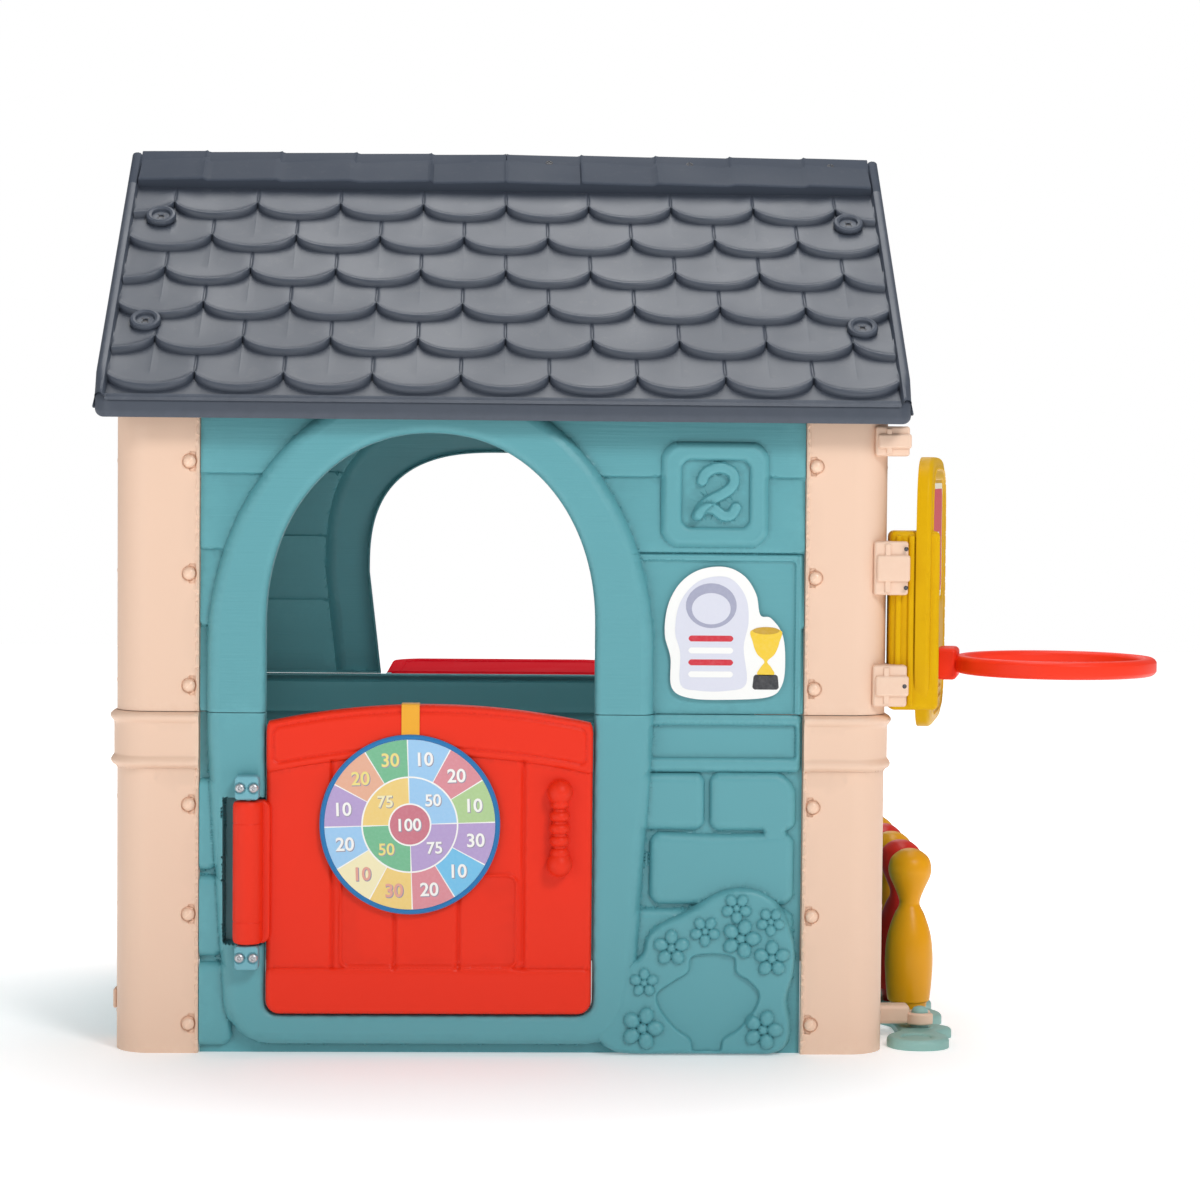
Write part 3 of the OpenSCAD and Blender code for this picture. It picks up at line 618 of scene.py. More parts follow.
class Nodes:
    """Short forms for adding nodes to a tree and joining them."""

    def __init__(self, tree):
        self.tree = tree

    def add(self, kind, inputs=(), **settings):
        node = self.tree.nodes.new(kind)
        for key, value in settings.items():
            setattr(node, key, value)
        for key, value in dict(inputs).items():
            if isinstance(value, bpy.types.NodeSocket):
                self.tree.links.new(value, node.inputs[key])
            else:
                node.inputs[key].default_value = value
        return node

    def math(self, operation, a, b=0.0, clamp=False):
        return self.add("ShaderNodeMath", {0: a, 1: b}, operation=operation, use_clamp=clamp).outputs[0]

    def mix(self, share, a, b, blend="MIX"):
        node = self.add("ShaderNodeMix", data_type="RGBA", blend_type=blend)
        for key, value in ((0, share), (6, a), (7, b)):
            if isinstance(value, bpy.types.NodeSocket):
                self.tree.links.new(value, node.inputs[key])
            else:
                node.inputs[key].default_value = value
        return node.outputs[2]

    def span(self, value, low, high, to_low=0.0, to_high=1.0):
        return self.add("ShaderNodeMapRange", {0: value, 1: low, 2: high, 3: to_low, 4: to_high}).outputs[0]


def group(name, inputs, outputs):
    """A new node group with named sockets, its nodes and its two end nodes."""
    tree = bpy.data.node_groups.new(name, "ShaderNodeTree")
    for label, kind, value in inputs:
        socket = tree.interface.new_socket(label, in_out="INPUT", socket_type=kind)
        if value is not None:
            socket.default_value = value
    for label, kind in outputs:
        tree.interface.new_socket(label, in_out="OUTPUT", socket_type=kind)
    nodes = Nodes(tree)
    return tree, nodes, nodes.add("NodeGroupInput"), nodes.add("NodeGroupOutput")


def grain_group():
    """Fine texture of moulded plastic and its slow waviness, as heights and a gloss mask."""
    if "Moulded grain" in bpy.data.node_groups:
        return bpy.data.node_groups["Moulded grain"]
    tree, n, given, out = group(
        "Moulded grain",
        [("Scale", "NodeSocketFloat", 900.0), ("Waviness", "NodeSocketFloat", 0.5),
        ("Wood", "NodeSocketFloat", 0.0)],
        [("Height", "NodeSocketFloat"), ("Gloss", "NodeSocketFloat")])
    place = n.add("ShaderNodeTexCoord").outputs["Object"]
    fine = n.add("ShaderNodeTexNoise", {"Vector": place, "Scale": given.outputs["Scale"], "Detail": 2.0})
    slow = n.add("ShaderNodeTexNoise", {"Vector": place, "Scale": 9.0, "Detail": 3.0, "Roughness": 0.45})
    long = n.add("ShaderNodeMapping", {"Vector": place, "Scale": (7.0, 7.0, 260.0)})
    wood = n.add("ShaderNodeTexNoise", {"Vector": long.outputs[0], "Scale": 1.0, "Detail": 5.0,
            "Distortion": 0.6})
    height = n.math("MULTIPLY", fine.outputs["Fac"], 0.16)
    waves = n.math("MULTIPLY", slow.outputs["Fac"], given.outputs["Waviness"])
    boards = n.math("MULTIPLY", wood.outputs["Fac"], given.outputs["Wood"])
    total = n.math("ADD", n.math("ADD", height, waves), boards)
    n.tree.links.new(total, out.inputs["Height"])
    n.tree.links.new(n.span(slow.outputs["Fac"], 0.35, 0.65), out.inputs["Gloss"])
    return tree


def colour_group():
    """Colour that drifts slowly over a moulding, pales along its edges as scuffed wear with a painted highlight,
    darkens its hollows with painted shade and gathers dust on faces that look up.
    """
    if "Moulded colour" in bpy.data.node_groups:
        return bpy.data.node_groups["Moulded colour"]
    tree, n, given, out = group(
        "Moulded colour",
        [("Colour", "NodeSocketColor", (0.5, 0.5, 0.5, 1)), ("Drift", "NodeSocketFloat", 0.05),
         ("Edge", "NodeSocketFloat", 0.2), ("Hollow", "NodeSocketFloat", 0.3), ("Dust", "NodeSocketFloat",
         0.03)],
        [("Colour", "NodeSocketColor"), ("Wear", "NodeSocketFloat")])
    place = n.add("ShaderNodeTexCoord").outputs["Object"]
    slow = n.add("ShaderNodeTexNoise", {"Vector": place, "Scale": 3.5, "Detail": 4.0})
    scuffs = n.add("ShaderNodeTexNoise", {"Vector": place, "Scale": 60.0, "Detail": 6.0, "Roughness": 0.7})
    geometry = n.add("ShaderNodeNewGeometry")
    # Pointiness finds the edges, which are paled as partly scuffed wear and partly a painted highlight.
    edge = n.span(geometry.outputs["Pointiness"], 0.505, 0.56)
    # Low pointiness finds hollows and creases, which are darkened as painted shade.
    hollow = n.span(geometry.outputs["Pointiness"], 0.495, 0.45)
    hsv = n.add("ShaderNodeHueSaturation", {"Color": given.outputs["Colour"]})
    swing = n.math("MULTIPLY", n.math("SUBTRACT", slow.outputs["Fac"], 0.5), given.outputs["Drift"])
    n.tree.links.new(n.math("ADD", swing, 1.0), hsv.inputs["Value"])
    edge_wear_and_highlight = n.math("MULTIPLY", edge, n.span(scuffs.outputs["Fac"], 0.35, 0.62))
    pale = n.mix(n.math("MULTIPLY", edge_wear_and_highlight, given.outputs["Edge"]), hsv.outputs[0], (1, 1, 1, 1), "SOFT_LIGHT")
    # Painted shade: the hollows are multiplied towards near-black.
    deep = n.mix(n.math("MULTIPLY", hollow, given.outputs["Hollow"]), pale, (0.02, 0.03, 0.04, 1), "MULTIPLY")
    facing = n.add("ShaderNodeSeparateXYZ", {0: geometry.outputs["Normal"]}).outputs["Z"]
    specks = n.span(scuffs.outputs["Fac"], 0.56, 0.72)
    dust = n.math("MULTIPLY", n.math("MULTIPLY", n.span(facing, 0.3, 1.0), specks), given.outputs["Dust"])
    n.tree.links.new(n.mix(dust, deep, (0.5, 0.47, 0.42, 1)), out.inputs["Colour"])
    n.tree.links.new(edge_wear_and_highlight, out.inputs["Wear"])
    return tree


def weave_group():
    """Over and under threads of a plain weave, as a height and a painted shade for the dips between threads."""
    if "Plain weave" in bpy.data.node_groups:
        return bpy.data.node_groups["Plain weave"]
    tree, n, given, out = group(
        "Plain weave", [("Threads", "NodeSocketFloat", 900.0)],
        [("Height", "NodeSocketFloat"), ("Shade", "NodeSocketFloat")])
    place = n.add("ShaderNodeSeparateXYZ", {0: n.add("ShaderNodeTexCoord").outputs["Object"]})
    across = n.math("MULTIPLY", place.outputs["X"], given.outputs["Threads"])
    up = n.math("MULTIPLY", place.outputs["Z"], given.outputs["Threads"])
    warp = n.math("ABSOLUTE", n.math("SINE", across))
    weft = n.math("ABSOLUTE", n.math("SINE", up))
    flip = n.math("GREATER_THAN", n.math("MULTIPLY", n.math("SINE", across), n.math("SINE", up)), 0.0)
    over = n.add("ShaderNodeMix", {0: flip, 2: warp, 3: weft}, data_type="FLOAT").outputs[0]
    fuzz = n.add("ShaderNodeTexNoise", {"Vector": n.add("ShaderNodeTexCoord").outputs["Object"],
            "Scale": 1400.0})
    n.tree.links.new(n.math("ADD", over, n.math("MULTIPLY", fuzz.outputs["Fac"], 0.4)), out.inputs["Height"])
    n.tree.links.new(n.span(over, 0.0, 1.0, 0.8, 1.0), out.inputs["Shade"])
    return tree


def start_material(name):
    """A new material with its shader and an output."""
    made = bpy.data.materials.new(name)
    made.use_nodes = True
    made.node_tree.nodes.clear()
    nodes = Nodes(made.node_tree)
    shader = nodes.add("ShaderNodeBsdfPrincipled")
    out = nodes.add("ShaderNodeOutputMaterial")
    made.node_tree.links.new(shader.outputs[0], out.inputs[0])
    return made, nodes, shader


def moulded(name, colour, rough, grain=900.0, waviness=0.15, wood=0.0, drift=0.05, edge=0.15, hollow=0.12,
        dust=0.03, bump=0.16, gloss=0.5):
    """Moulded plastic with grain, drift of colour, pale edges that are partly wear and partly a painted
    highlight, painted shade in its hollows, and a little dust.
    """
    made, n, shader = start_material(name)
    relief = n.add("ShaderNodeGroup", node_tree=grain_group())
    relief.inputs["Scale"].default_value = grain
    relief.inputs["Waviness"].default_value = waviness
    relief.inputs["Wood"].default_value = wood
    paint = n.add("ShaderNodeGroup", node_tree=colour_group())
    paint.inputs["Colour"].default_value = (*colour, 1)
    # edge sets the wear and painted highlight on edges; hollow sets the painted shade in hollows.
    for label, value in (("Drift", drift), ("Edge", edge), ("Hollow", hollow), ("Dust", dust)):
        paint.inputs[label].default_value = value
    n.tree.links.new(paint.outputs["Colour"], shader.inputs["Base Color"])
    base = n.span(relief.outputs["Gloss"], 0.0, 1.0, rough - 0.04, rough + 0.05)
    n.tree.links.new(n.math("ADD", base, n.math("MULTIPLY", paint.outputs["Wear"], 0.12)),
            shader.inputs["Roughness"])
    lumps = n.add("ShaderNodeBump", {"Height": relief.outputs["Height"], "Strength": bump,
            "Distance": 0.0012})
    n.tree.links.new(lumps.outputs[0], shader.inputs["Normal"])
    shader.inputs["IOR"].default_value = 1.5
    shader.inputs["Specular IOR Level"].default_value = gloss
    return made


def metal(name, colour, rough):
    """Plated steel with fine scratches."""
    made, n, shader = start_material(name)
    place = n.add("ShaderNodeTexCoord").outputs["Object"]
    streaks = n.add("ShaderNodeTexNoise", {"Vector": place, "Scale": 700.0, "Detail": 4.0})
    tarnish = n.add("ShaderNodeTexNoise", {"Vector": place, "Scale": 90.0, "Detail": 3.0})
    n.tree.links.new(n.mix(tarnish.outputs["Fac"], (*colour, 1), (*[c * 0.7 for c in colour], 1)),
            shader.inputs["Base Color"])
    n.tree.links.new(n.span(streaks.outputs["Fac"], 0.3, 0.7, rough - 0.06, rough + 0.1),
            shader.inputs["Roughness"])
    lumps = n.add("ShaderNodeBump", {"Height": streaks.outputs["Fac"], "Strength": 0.15, "Distance": 0.0002})
    n.tree.links.new(lumps.outputs[0], shader.inputs["Normal"])
    shader.inputs["Metallic"].default_value = 1.0
    return made


def woven(name, colour, rough=0.8, threads=2600.0, sheen=0.3):
    """Webbing or felt with a plain weave."""
    made, n, shader = start_material(name)
    weave = n.add("ShaderNodeGroup", node_tree=weave_group())
    weave.inputs["Threads"].default_value = threads
    # Painted shade: the dips of the weave are darkened towards a third of the colour.
    shade = n.mix(n.math("SUBTRACT", 1.0, weave.outputs["Shade"]), (*colour, 1),
            (*[c * 0.35 for c in colour], 1))
    n.tree.links.new(shade, shader.inputs["Base Color"])
    n.tree.links.new(n.span(weave.outputs["Height"], 0.0, 1.4, rough + 0.08, rough - 0.08),
            shader.inputs["Roughness"])
    lumps = n.add("ShaderNodeBump", {"Height": weave.outputs["Height"], "Strength": 0.5, "Distance": 0.0004})
    n.tree.links.new(lumps.outputs[0], shader.inputs["Normal"])
    shader.inputs["Sheen Weight"].default_value = sheen
    return made


def printed(name, colour, rough=0.42):
    """Ink on vinyl or cloth, a little uneven."""
    made, n, shader = start_material(name)
    place = n.add("ShaderNodeTexCoord").outputs["Object"]
    ink = n.add("ShaderNodeTexNoise", {"Vector": place, "Scale": 240.0, "Detail": 4.0})
    n.tree.links.new(n.mix(n.span(ink.outputs["Fac"], 0.4, 0.75, 0.0, 0.05), (*colour, 1),
            (0.9, 0.9, 0.9, 1)),
            shader.inputs["Base Color"])
    n.tree.links.new(n.span(ink.outputs["Fac"], 0.3, 0.7, rough - 0.05, rough + 0.08),
            shader.inputs["Roughness"])
    lumps = n.add("ShaderNodeBump", {"Height": ink.outputs["Fac"], "Strength": 0.08, "Distance": 0.0003})
    n.tree.links.new(lumps.outputs[0], shader.inputs["Normal"])
    return made


def material(finish):
    """The material of a finish, made once from the colours in the sidebar."""
    if finish in bpy.data.materials:
        return bpy.data.materials[finish]
    colours = bpy.context.scene.playhouse_colours
    pick = lambda key: tuple(getattr(colours, key))
    recipes = {
        "wall": lambda: moulded(finish, pick("wall"), 0.42, waviness=0.2),
        "boards": lambda: moulded(finish, pick("wall"), 0.46, wood=0.8, bump=0.42),
        "column": lambda: moulded(finish, pick("column"), 0.46, dust=0.02),
        "bolt": lambda: moulded(finish, pick("bolt"), 0.26, grain=1500.0, waviness=0.1),
        "roof": lambda: moulded(finish, pick("roof"), 0.43, waviness=0.25, dust=0.05, edge=0.25),
        "ridge": lambda: moulded(finish, pick("roof"), 0.62, waviness=0.25, dust=0.03, gloss=0.12),
        "roof_screw": lambda: moulded(finish, pick("roof_screw"), 0.42, grain=1500.0, waviness=0.1),
        "door": lambda: moulded(finish, pick("door"), 0.42, dust=0.0, gloss=0.25),
        "counter": lambda: moulded(finish, pick("counter"), 0.75, dust=0.0, gloss=0.03),
        "bracket": lambda: moulded(finish, pick("bracket"), 0.42, grain=1400.0),
        "backboard": lambda: moulded(finish, pick("backboard"), 0.42, dust=0.0, gloss=0.1),
        "pin_yellow": lambda: moulded(finish, pick("pin_yellow"), 0.34, dust=0.0, gloss=0.3),
        "pin_red": lambda: moulded(finish, pick("pin_red"), 0.34, dust=0.0, gloss=0.3),
        "hoop": lambda: moulded(finish, pick("hoop"), 0.4, dust=0.0, gloss=0.22),
        "base": lambda: moulded(finish, pick("base"), 0.45),
        "steel": lambda: metal(finish, (0.56, 0.57, 0.58), 0.34),
        "dark_screw": lambda: metal(finish, (0.12, 0.12, 0.13), 0.4),
        "felt": lambda: woven(finish, pick("felt"), 0.85, 3600.0),
        "piping": lambda: woven(finish, pick("piping"), 0.7, 2400.0),
        "webbing": lambda: woven(finish, pick("webbing"), 0.7, 2100.0),
        "floor": lambda: floor_material(finish),
    }
    if finish in recipes:
        return recipes[finish]()
    return printed(finish, INKS[finish])


INKS = {
    "ink_white": (0.86, 0.86, 0.84), "ink_grey": (0.35, 0.36, 0.48), "ink_pale": (0.66, 0.67, 0.76),
    "ink_black": (0.03, 0.03, 0.035), "ink_gold": (0.83, 0.56, 0.03), "ink_deep_gold": (0.55, 0.33, 0.02),
    "ink_red": (0.60, 0.02, 0.04), "ink_blue": (0.02, 0.18, 0.62), "ink_cream": (0.86, 0.80, 0.62),
    "dart_blue": (0.31, 0.55, 0.80), "dart_pink": (0.66, 0.25, 0.29), "dart_green": (0.16, 0.46, 0.26),
    "dart_purple": (0.43, 0.32, 0.58), "dart_sky": (0.16, 0.50, 0.76), "dart_gold": (0.80, 0.58, 0.19),
    "dart_cream": (0.83, 0.76, 0.47), "dart_orange": (0.74, 0.40, 0.27), "dart_lime": (0.40, 0.58, 0.27),
    "dart_line": (0.86, 0.85, 0.82), "dart_bull": (0.56, 0.17, 0.22), "dart_yellow": (0.80, 0.68, 0.22),
    "dart_shadow": (0.30, 0.28, 0.36), "dart_rust": (0.72, 0.34, 0.27),
}


def floor_material(name):
    """Pale studio floor, faintly uneven, which glows more away from the middle."""
    made, n, shader = start_material(name)
    place = n.add("ShaderNodeTexCoord").outputs["Object"]
    cloud = n.add("ShaderNodeTexNoise", {"Vector": place, "Scale": 1.2, "Detail": 3.0})
    n.tree.links.new(n.mix(cloud.outputs["Fac"], (0.90, 0.90, 0.90, 1), (0.86, 0.86, 0.86, 1)),
            shader.inputs["Base Color"])
    away = n.add("ShaderNodeVectorMath", {0: place}, operation="LENGTH").outputs["Value"]
    n.tree.links.new(n.mix(n.span(away, 0.4, 1.9), (0.26, 0.26, 0.26, 1), (1, 1, 1, 1)),
            shader.inputs["Emission Color"])
    shader.inputs["Roughness"].default_value = 0.85
    shader.inputs["Emission Strength"].default_value = 0.85
    return made


# ---- walls ---------------------------------------------------------------------------------------

BOLT_X = EDGE_X + 13
LOWER_BOLTS = (40, 187, 334)
UPPER_BOLTS = (493, 642, 791)
SPRIG_HEADS = ((315, 200, 20, -90), (361, 182, 19, -90), (273, 169, 20, -90), (321, 159, 26, 0),
        (228, 146, 24, 90),
        (363, 132, 24, 90), (192, 99, 19, 90), (190, 38, 28, 0), (352, 36, 26, 0))


def surround_loop():
    """Outer edge of the doorway's surround, drawn in towards its foot."""
    foot, r = 271, 60
    return np.concatenate([
        arch(DOOR_X, 294, 538, 360, 2.0, 64), [(DOOR_X - 294, 425)],
        quarter(DOOR_X - foot + r, 76, r, 180), quarter(DOOR_X + foot - r, 76, r,
        270), [(DOOR_X + 294, 425)]])


def doorway_loop(grow=0.0):
    """Edge of the doorway, grown outwards by a margin."""
    a, r = DOOR_A + grow, 18 + grow
    return np.concatenate([
        arch(DOOR_X, a, SPRING_Z, DOORWAY_TOP - SPRING_Z + grow, 2.1, 72),
        quarter(DOOR_X - a + r, SILL_Z + 18, r, 180), quarter(DOOR_X + a - r, SILL_Z + 18, r, 270)])


def notched(x0, x1, z0, z1, notch, closed_at):
    """A wall's rectangle with an opening that runs into its upper (1) or lower (-1) edge."""
    part = cut_at(notch, closed_at, closed_at == z0)
    level = np.abs(part[:, 1] - closed_at) < 1e-6
    order = int(np.argmax(level & np.roll(~level, -1)))
    part = np.roll(part, -order, axis=0)
    if closed_at == z0:
        part = part[np.argsort(-np.arange(len(part)))] if part[0][0] > part[-1][0] else part
        return np.concatenate([[(x0, z0)], part, [(x1, z0), (x1, z1), (x0, z1)]])
    part = part[::-1] if part[0][0] < part[-1][0] else part
    return np.concatenate([[(x0, z0), (x1, z0), (x1, z1)], part, [(x0, z1)]])


def boards(lines, low, high):
    """Lap siding: each board leans out towards its lower edge."""
    steps = np.array([low, *lines, high], float)

    def height(p):
        z = p[:, 1]
        k = np.clip(np.searchsorted(steps, z) - 1, 0, len(steps) - 2)
        share = (steps[k + 1] - z) / (steps[k + 1] - steps[k])
        lip = quarter_round((z - steps[k]) / 3.0)
        return np.where((z > low) & (z < high), 6.0 * share * lip, 0.0)
    return height


def board_points(relief, lines, x0, x1):
    """Adds the points that keep the laps between boards crisp."""
    for z in lines:
        path = resample([(x0, z), (x1, z)], 9, False)
        relief.extra += [path + (0, d) for d in (-0.5, 0.25, 1.0, 2.0, 3.2)]


def petals(relief, x, z, r, turn, bed):
    """A flower head of five domed petals around a button."""
    for k in range(5):
        a = turn + k * 2 * math.pi / 5
        relief.raise_(ellipse(x + 0.62 * r * math.cos(a), z + 0.62 * r * math.sin(a), 0.40 * r, 0.345 * r, a,
                24),
                0.3 * r + bed, edge=0.33 * r, draft=0.5, step=2.0)
    relief.raise_(ellipse(x, z, 0.25 * r, 0.25 * r, count=18), 0.26 * r, edge=0.24 * r, draft=0.5, step=1.5)


def stone(relief, x0, x1, z0, z1, radius=10.0, height=STONE_PROUD, sag=0.0, radii=None):
    """One cushioned stone; sag hollows its top edge."""
    loop = rectangle(x0, x1, z0, z1)
    top = [(x1 + (x0 - x1) * t, z1 - sag * math.sin(math.pi * t)) for t in np.linspace(0, 1, 9)]
    loop = np.concatenate([loop[:2], top]) if sag else loop
    corner = radii if radii is not None else [radius, radius, radius] + [60] * (len(loop) - 4) + [radius]
    relief.raise_(rounded(loop, corner), height, edge=9, draft=2.5)


def belt_panel(relief, x0, x1):
    """Two ribs along the top of a lower wall with a sunk band between them."""
    relief.raise_(rectangle(x0, x1, BELT_Z[0] + 5, SEAM_Z - 0.4, 5), 9, edge=5, draft=2)
    relief.raise_(rectangle(x0 + 4, x1 - 4, 398, 444.5, 4), -8, edge=4, draft=2)


def sprig_plate():
    """Edge of the plate that the flowers stand on, at the foot of the front wall."""
    return curve_through([(136, 22), (150, 8), (176, 3), (250, 3), (330, 3), (366, 4), (384, 16), (388, 42),
            (383, 74),
            (391, 108), (393, 140), (386, 170), (372, 200), (346, 219), (316, 223), (290, 216),
            (268, 203), (243, 188), (214, 174), (198, 158), (192, 136), (174, 116), (168, 92), (163, 66),
            (152, 44)], True, 6)


def cartouche():
    """Edge of the plain plaque among the flowers."""
    return curve_through([(258, 6), (277, 5), (296, 6), (301, 22), (322, 36), (342, 62), (348, 84),
            (334, 102),
            (317, 114), (313, 134), (284, 139), (255, 134), (250, 114), (232, 102), (209, 84), (213, 62),
            (234, 36), (253, 22)], True, 6)


def build_front_lower():
    """Lower front wall: stones, flower plate, surround and the slot for the hinge barrel."""
    x0, x1, top = -EDGE_X + 1, EDGE_X - 1, SEAM_Z - SEAM_GAP
    outline = notched(x0, x1, 0, top, doorway_loop(), top)
    relief = Relief(outline)
    surround = surround_loop()
    belt_panel(relief, 190, x1 - 4)
    stone(relief, 186, 270, 305, 377, 9)
    stone(relief, 281, 393, 304, 378, radii=[9, 9, 24, 9])
    stone(relief, 201, 391, 204, 298, 11, sag=3.5)
    relief.raise_(rectangle(353, 381, 293, 314, 6), 11, level=True, edge=6, draft=2)
    stone(relief, 176, 391, 100, 194, 11)
    stone(relief, -EDGE_X - 30, -362, 12, 120, 10)
    stone(relief, -EDGE_X - 30, -372, 132, 236, 10)
    stone(relief, -EDGE_X - 30, -380, 248, 366, 10)
    relief.raise_(surround, SURROUND, edge=13, draft=4, level=True)
    relief.raise_(sprig_plate(), 24, edge=5, draft=3, level=True, step=4)
    relief.raise_(cartouche(), -7, edge=4, draft=2, step=4)
    relief.bead(cartouche(), 1.2, 4, step=4)
    for x, z, r, turn in SPRIG_HEADS:
        petals(relief, x, z, r, math.radians(turn), 0.6)
    relief.roll(doorway_loop(), 9)
    notch_lo, notch_hi = HINGE[0] - 34, HINGE[0] + 30
    relief.raise_(rectangle(notch_lo, notch_hi, BARREL_Z[0] - 2, BARREL_Z[1] + 2, 2), 0.5, level=True,
            edge=2, draft=1)
    return sheet_piece("front_wall_lower", relief, on_front, "wall", replaces=["lower_front_wall"],
            slot="wall_teal", skin=SKIN)


def numeral(x, z):
    """Centre lines of a rounded figure two."""
    bow = [(-18.5, 19), (-14.5, 28), (-3.5, 35), (9.5, 36), (21.5, 30), (24.5, 19), (19.5, 9), (6.5, 0),
            (-5.5, -6),
           (-18.5, -16), (-24.5, -27)]
    foot = [(-24.5, -27), (-14, -18), (-2, -19), (9, -27), (20, -27), (27, -17)]
    return [curve_through(np.array(line) + (x, z), steps=6) for line in (bow, foot)]


def build_front_upper():
    """Upper front wall: boards, sticker panel, number plate and surround."""
    x0, x1, low = -EDGE_X + 1, EDGE_X - 1, SEAM_Z + SEAM_GAP
    outline = notched(x0, x1, low, WALL_TOP, doorway_loop(), low)
    lines = (573, 674, 775)
    relief = Relief(outline, base=boards(lines, SEAM_Z, WALL_TOP + 20))
    board_points(relief, lines, x0, x1)
    relief.raise_(rectangle(150, x1 - 3, SEAM_Z - 30, 672, 3), 5.5, edge=3, draft=1, level=True)
    relief.raise_(rectangle(120, x1 - 13, SEAM_Z - 30, 663, 3), 1.0, edge=2.5, draft=1.5, level=True)
    relief.bead([(150, 671), (x1 - 6, 671), (x1 - 6, SEAM_Z + 2)], 2.2, 4.5, closed=False)
    relief.raise_(rectangle(212, 351, 685, 820, 17), 14, edge=10, draft=3, level=True)
    relief.bead(rectangle(217, 346, 690, 815, 15), 0.8, 5)
    relief.raise_(rectangle(235.5, 329.5, 707, 800, 11), -8, edge=5, draft=2)
    for line in numeral(282.5, 752):
        relief.stroke(line, 8.0, 8.0)
    relief.raise_(surround_loop(), SURROUND, edge=13, draft=4, level=True)
    relief.roll(doorway_loop(), 9)
    return sheet_piece("front_wall_upper", relief, on_front, "boards", replaces=["upper_front_wall"],
            slot="wall_teal", skin=SKIN)


def stone_courses(relief, half):
    """Three courses of stones with staggered joints."""
    for row, (z0, z1) in enumerate(((12, 122), (133, 243), (254, 370))):
        widths = (0.30, 0.42, 0.28) if row % 2 == 0 else (0.40, 0.26, 0.34)
        x = -half
        for share in widths:
            w = share * 2 * half
            stone(relief, x + 5, x + w - 5, z0, z1, 11, sag=2.0)
            x += w


def build_plain_lower(name, node, bend, half):
    """A lower wall of three stone courses under its belt."""
    relief = Relief(rectangle(-half, half, 0, SEAM_Z - SEAM_GAP))
    belt_panel(relief, -half + 5, half - 5)
    stone_courses(relief, half)
    return sheet_piece(name, relief, bend, "wall", replaces=[node], slot="wall_teal", skin=SKIN)


def window_loop(a, b, zc, grow=0.0):
    """A squarish arched window, closed by a flat sill."""
    return np.concatenate([arch(0, a + grow, zc, b + grow, 2.75, 64),
            [(-(a * 0.9 + grow), SEAM_Z - 20), (a * 0.9 + grow, SEAM_Z - 20)]])


def build_window_wall(name, node, bend, half, a, b, zc, band, top):
    """An upper wall of boards round a window with its surround."""
    low = SEAM_Z + SEAM_GAP
    opening = window_loop(a, b, zc)
    outline = notched(-half, half, low, top, opening, low)
    lines = tuple(z for z in (573, 674, 775) if z < top - 15)
    relief = Relief(outline, base=boards(lines, SEAM_Z, top + 20))
    board_points(relief, lines, -half, half)
    relief.raise_(window_loop(a, b, zc, band), SURROUND, edge=13, draft=4, level=True)
    relief.roll(opening, 9)
    return sheet_piece(name, relief, bend, "boards", replaces=[node], slot="wall_teal", skin=SKIN)


def build_back_and_sides():
    """The six walls behind and beside the front."""
    build_plain_lower("back_wall_lower", "lower_back_wall", on_back, EDGE_X - 1)
    build_plain_lower("left_wall_lower", "lower_left_wall", on_left, EDGE_Y - 1)
    build_plain_lower("right_wall_lower", "lower_right_wall", on_right, EDGE_Y - 1)
    build_window_wall("back_wall_upper", "upper_back_wall", on_back, EDGE_X - 1, 212, 190, 620, 68, WALL_TOP)
    build_window_wall("left_wall_upper", "upper_left_wall", on_left, EDGE_Y - 1, 150, 170, 600, 48, 842)
    build_window_wall("right_wall_upper", "upper_right_wall", on_right, EDGE_Y - 1, 150, 170, 600, 48, 842)


def build_counter_lugs():
    """Ears on the back wall that hold the counter's pin."""
    shapes = []
    for x in (-186, 177):
        ear = prism(rounded([(-11, -11), (28, -11), (28, 11), (-11, 11)], [11, 2, 2, 11]), 0, 9, 1.5)
        turned = moved(ear, Matrix(((0, 0, 1, x), (-1, 0, 0, HALF_D + 27), (0, 1, 0, SEAM_Z - 12),
                (0, 0, 0, 1))))
        shapes.append(turned)
    return piece("counter_lugs", shapes, ["wall"] * 2, slot="wall_teal")


# ---- columns, bolts and gables -------------------------------------------------------------------

def corner_bend(sx, sy):
    """Places (along the section, up, out) on a corner column; 0 is the middle of its rounded corner."""
    straight, arc = COLUMN_LEG - COLUMN_R, COLUMN_R * math.pi / 2

    def bend(p):
        u, z, h = p[:, 0], p[:, 1], p[:, 2]
        x, y = np.empty(len(p)), np.empty(len(p))
        front, side = u < -arc / 2, u > arc / 2
        turn = np.clip(u / (arc / 2), -1, 1) * math.pi / 4 + math.pi / 4
        r = COLUMN_R + h
        x = HALF_W - COLUMN_R + r * np.sin(turn)
        y = HALF_D - COLUMN_R + r * np.cos(turn)
        x[front] = HALF_W - COLUMN_R + u[front] + arc / 2
        y[front] = HALF_D + h[front]
        y[side] = HALF_D - COLUMN_R - (u[side] - arc / 2)
        x[side] = HALF_W + h[side]
        return np.column_stack([sx * x, sy * y, z])
    return bend, straight + arc / 2


def torus_band(z, middle, half, height):
    """Height of a half-round band at each z."""
    return height * np.cos(np.clip((z - middle) / half, -1, 1) * math.pi / 2)


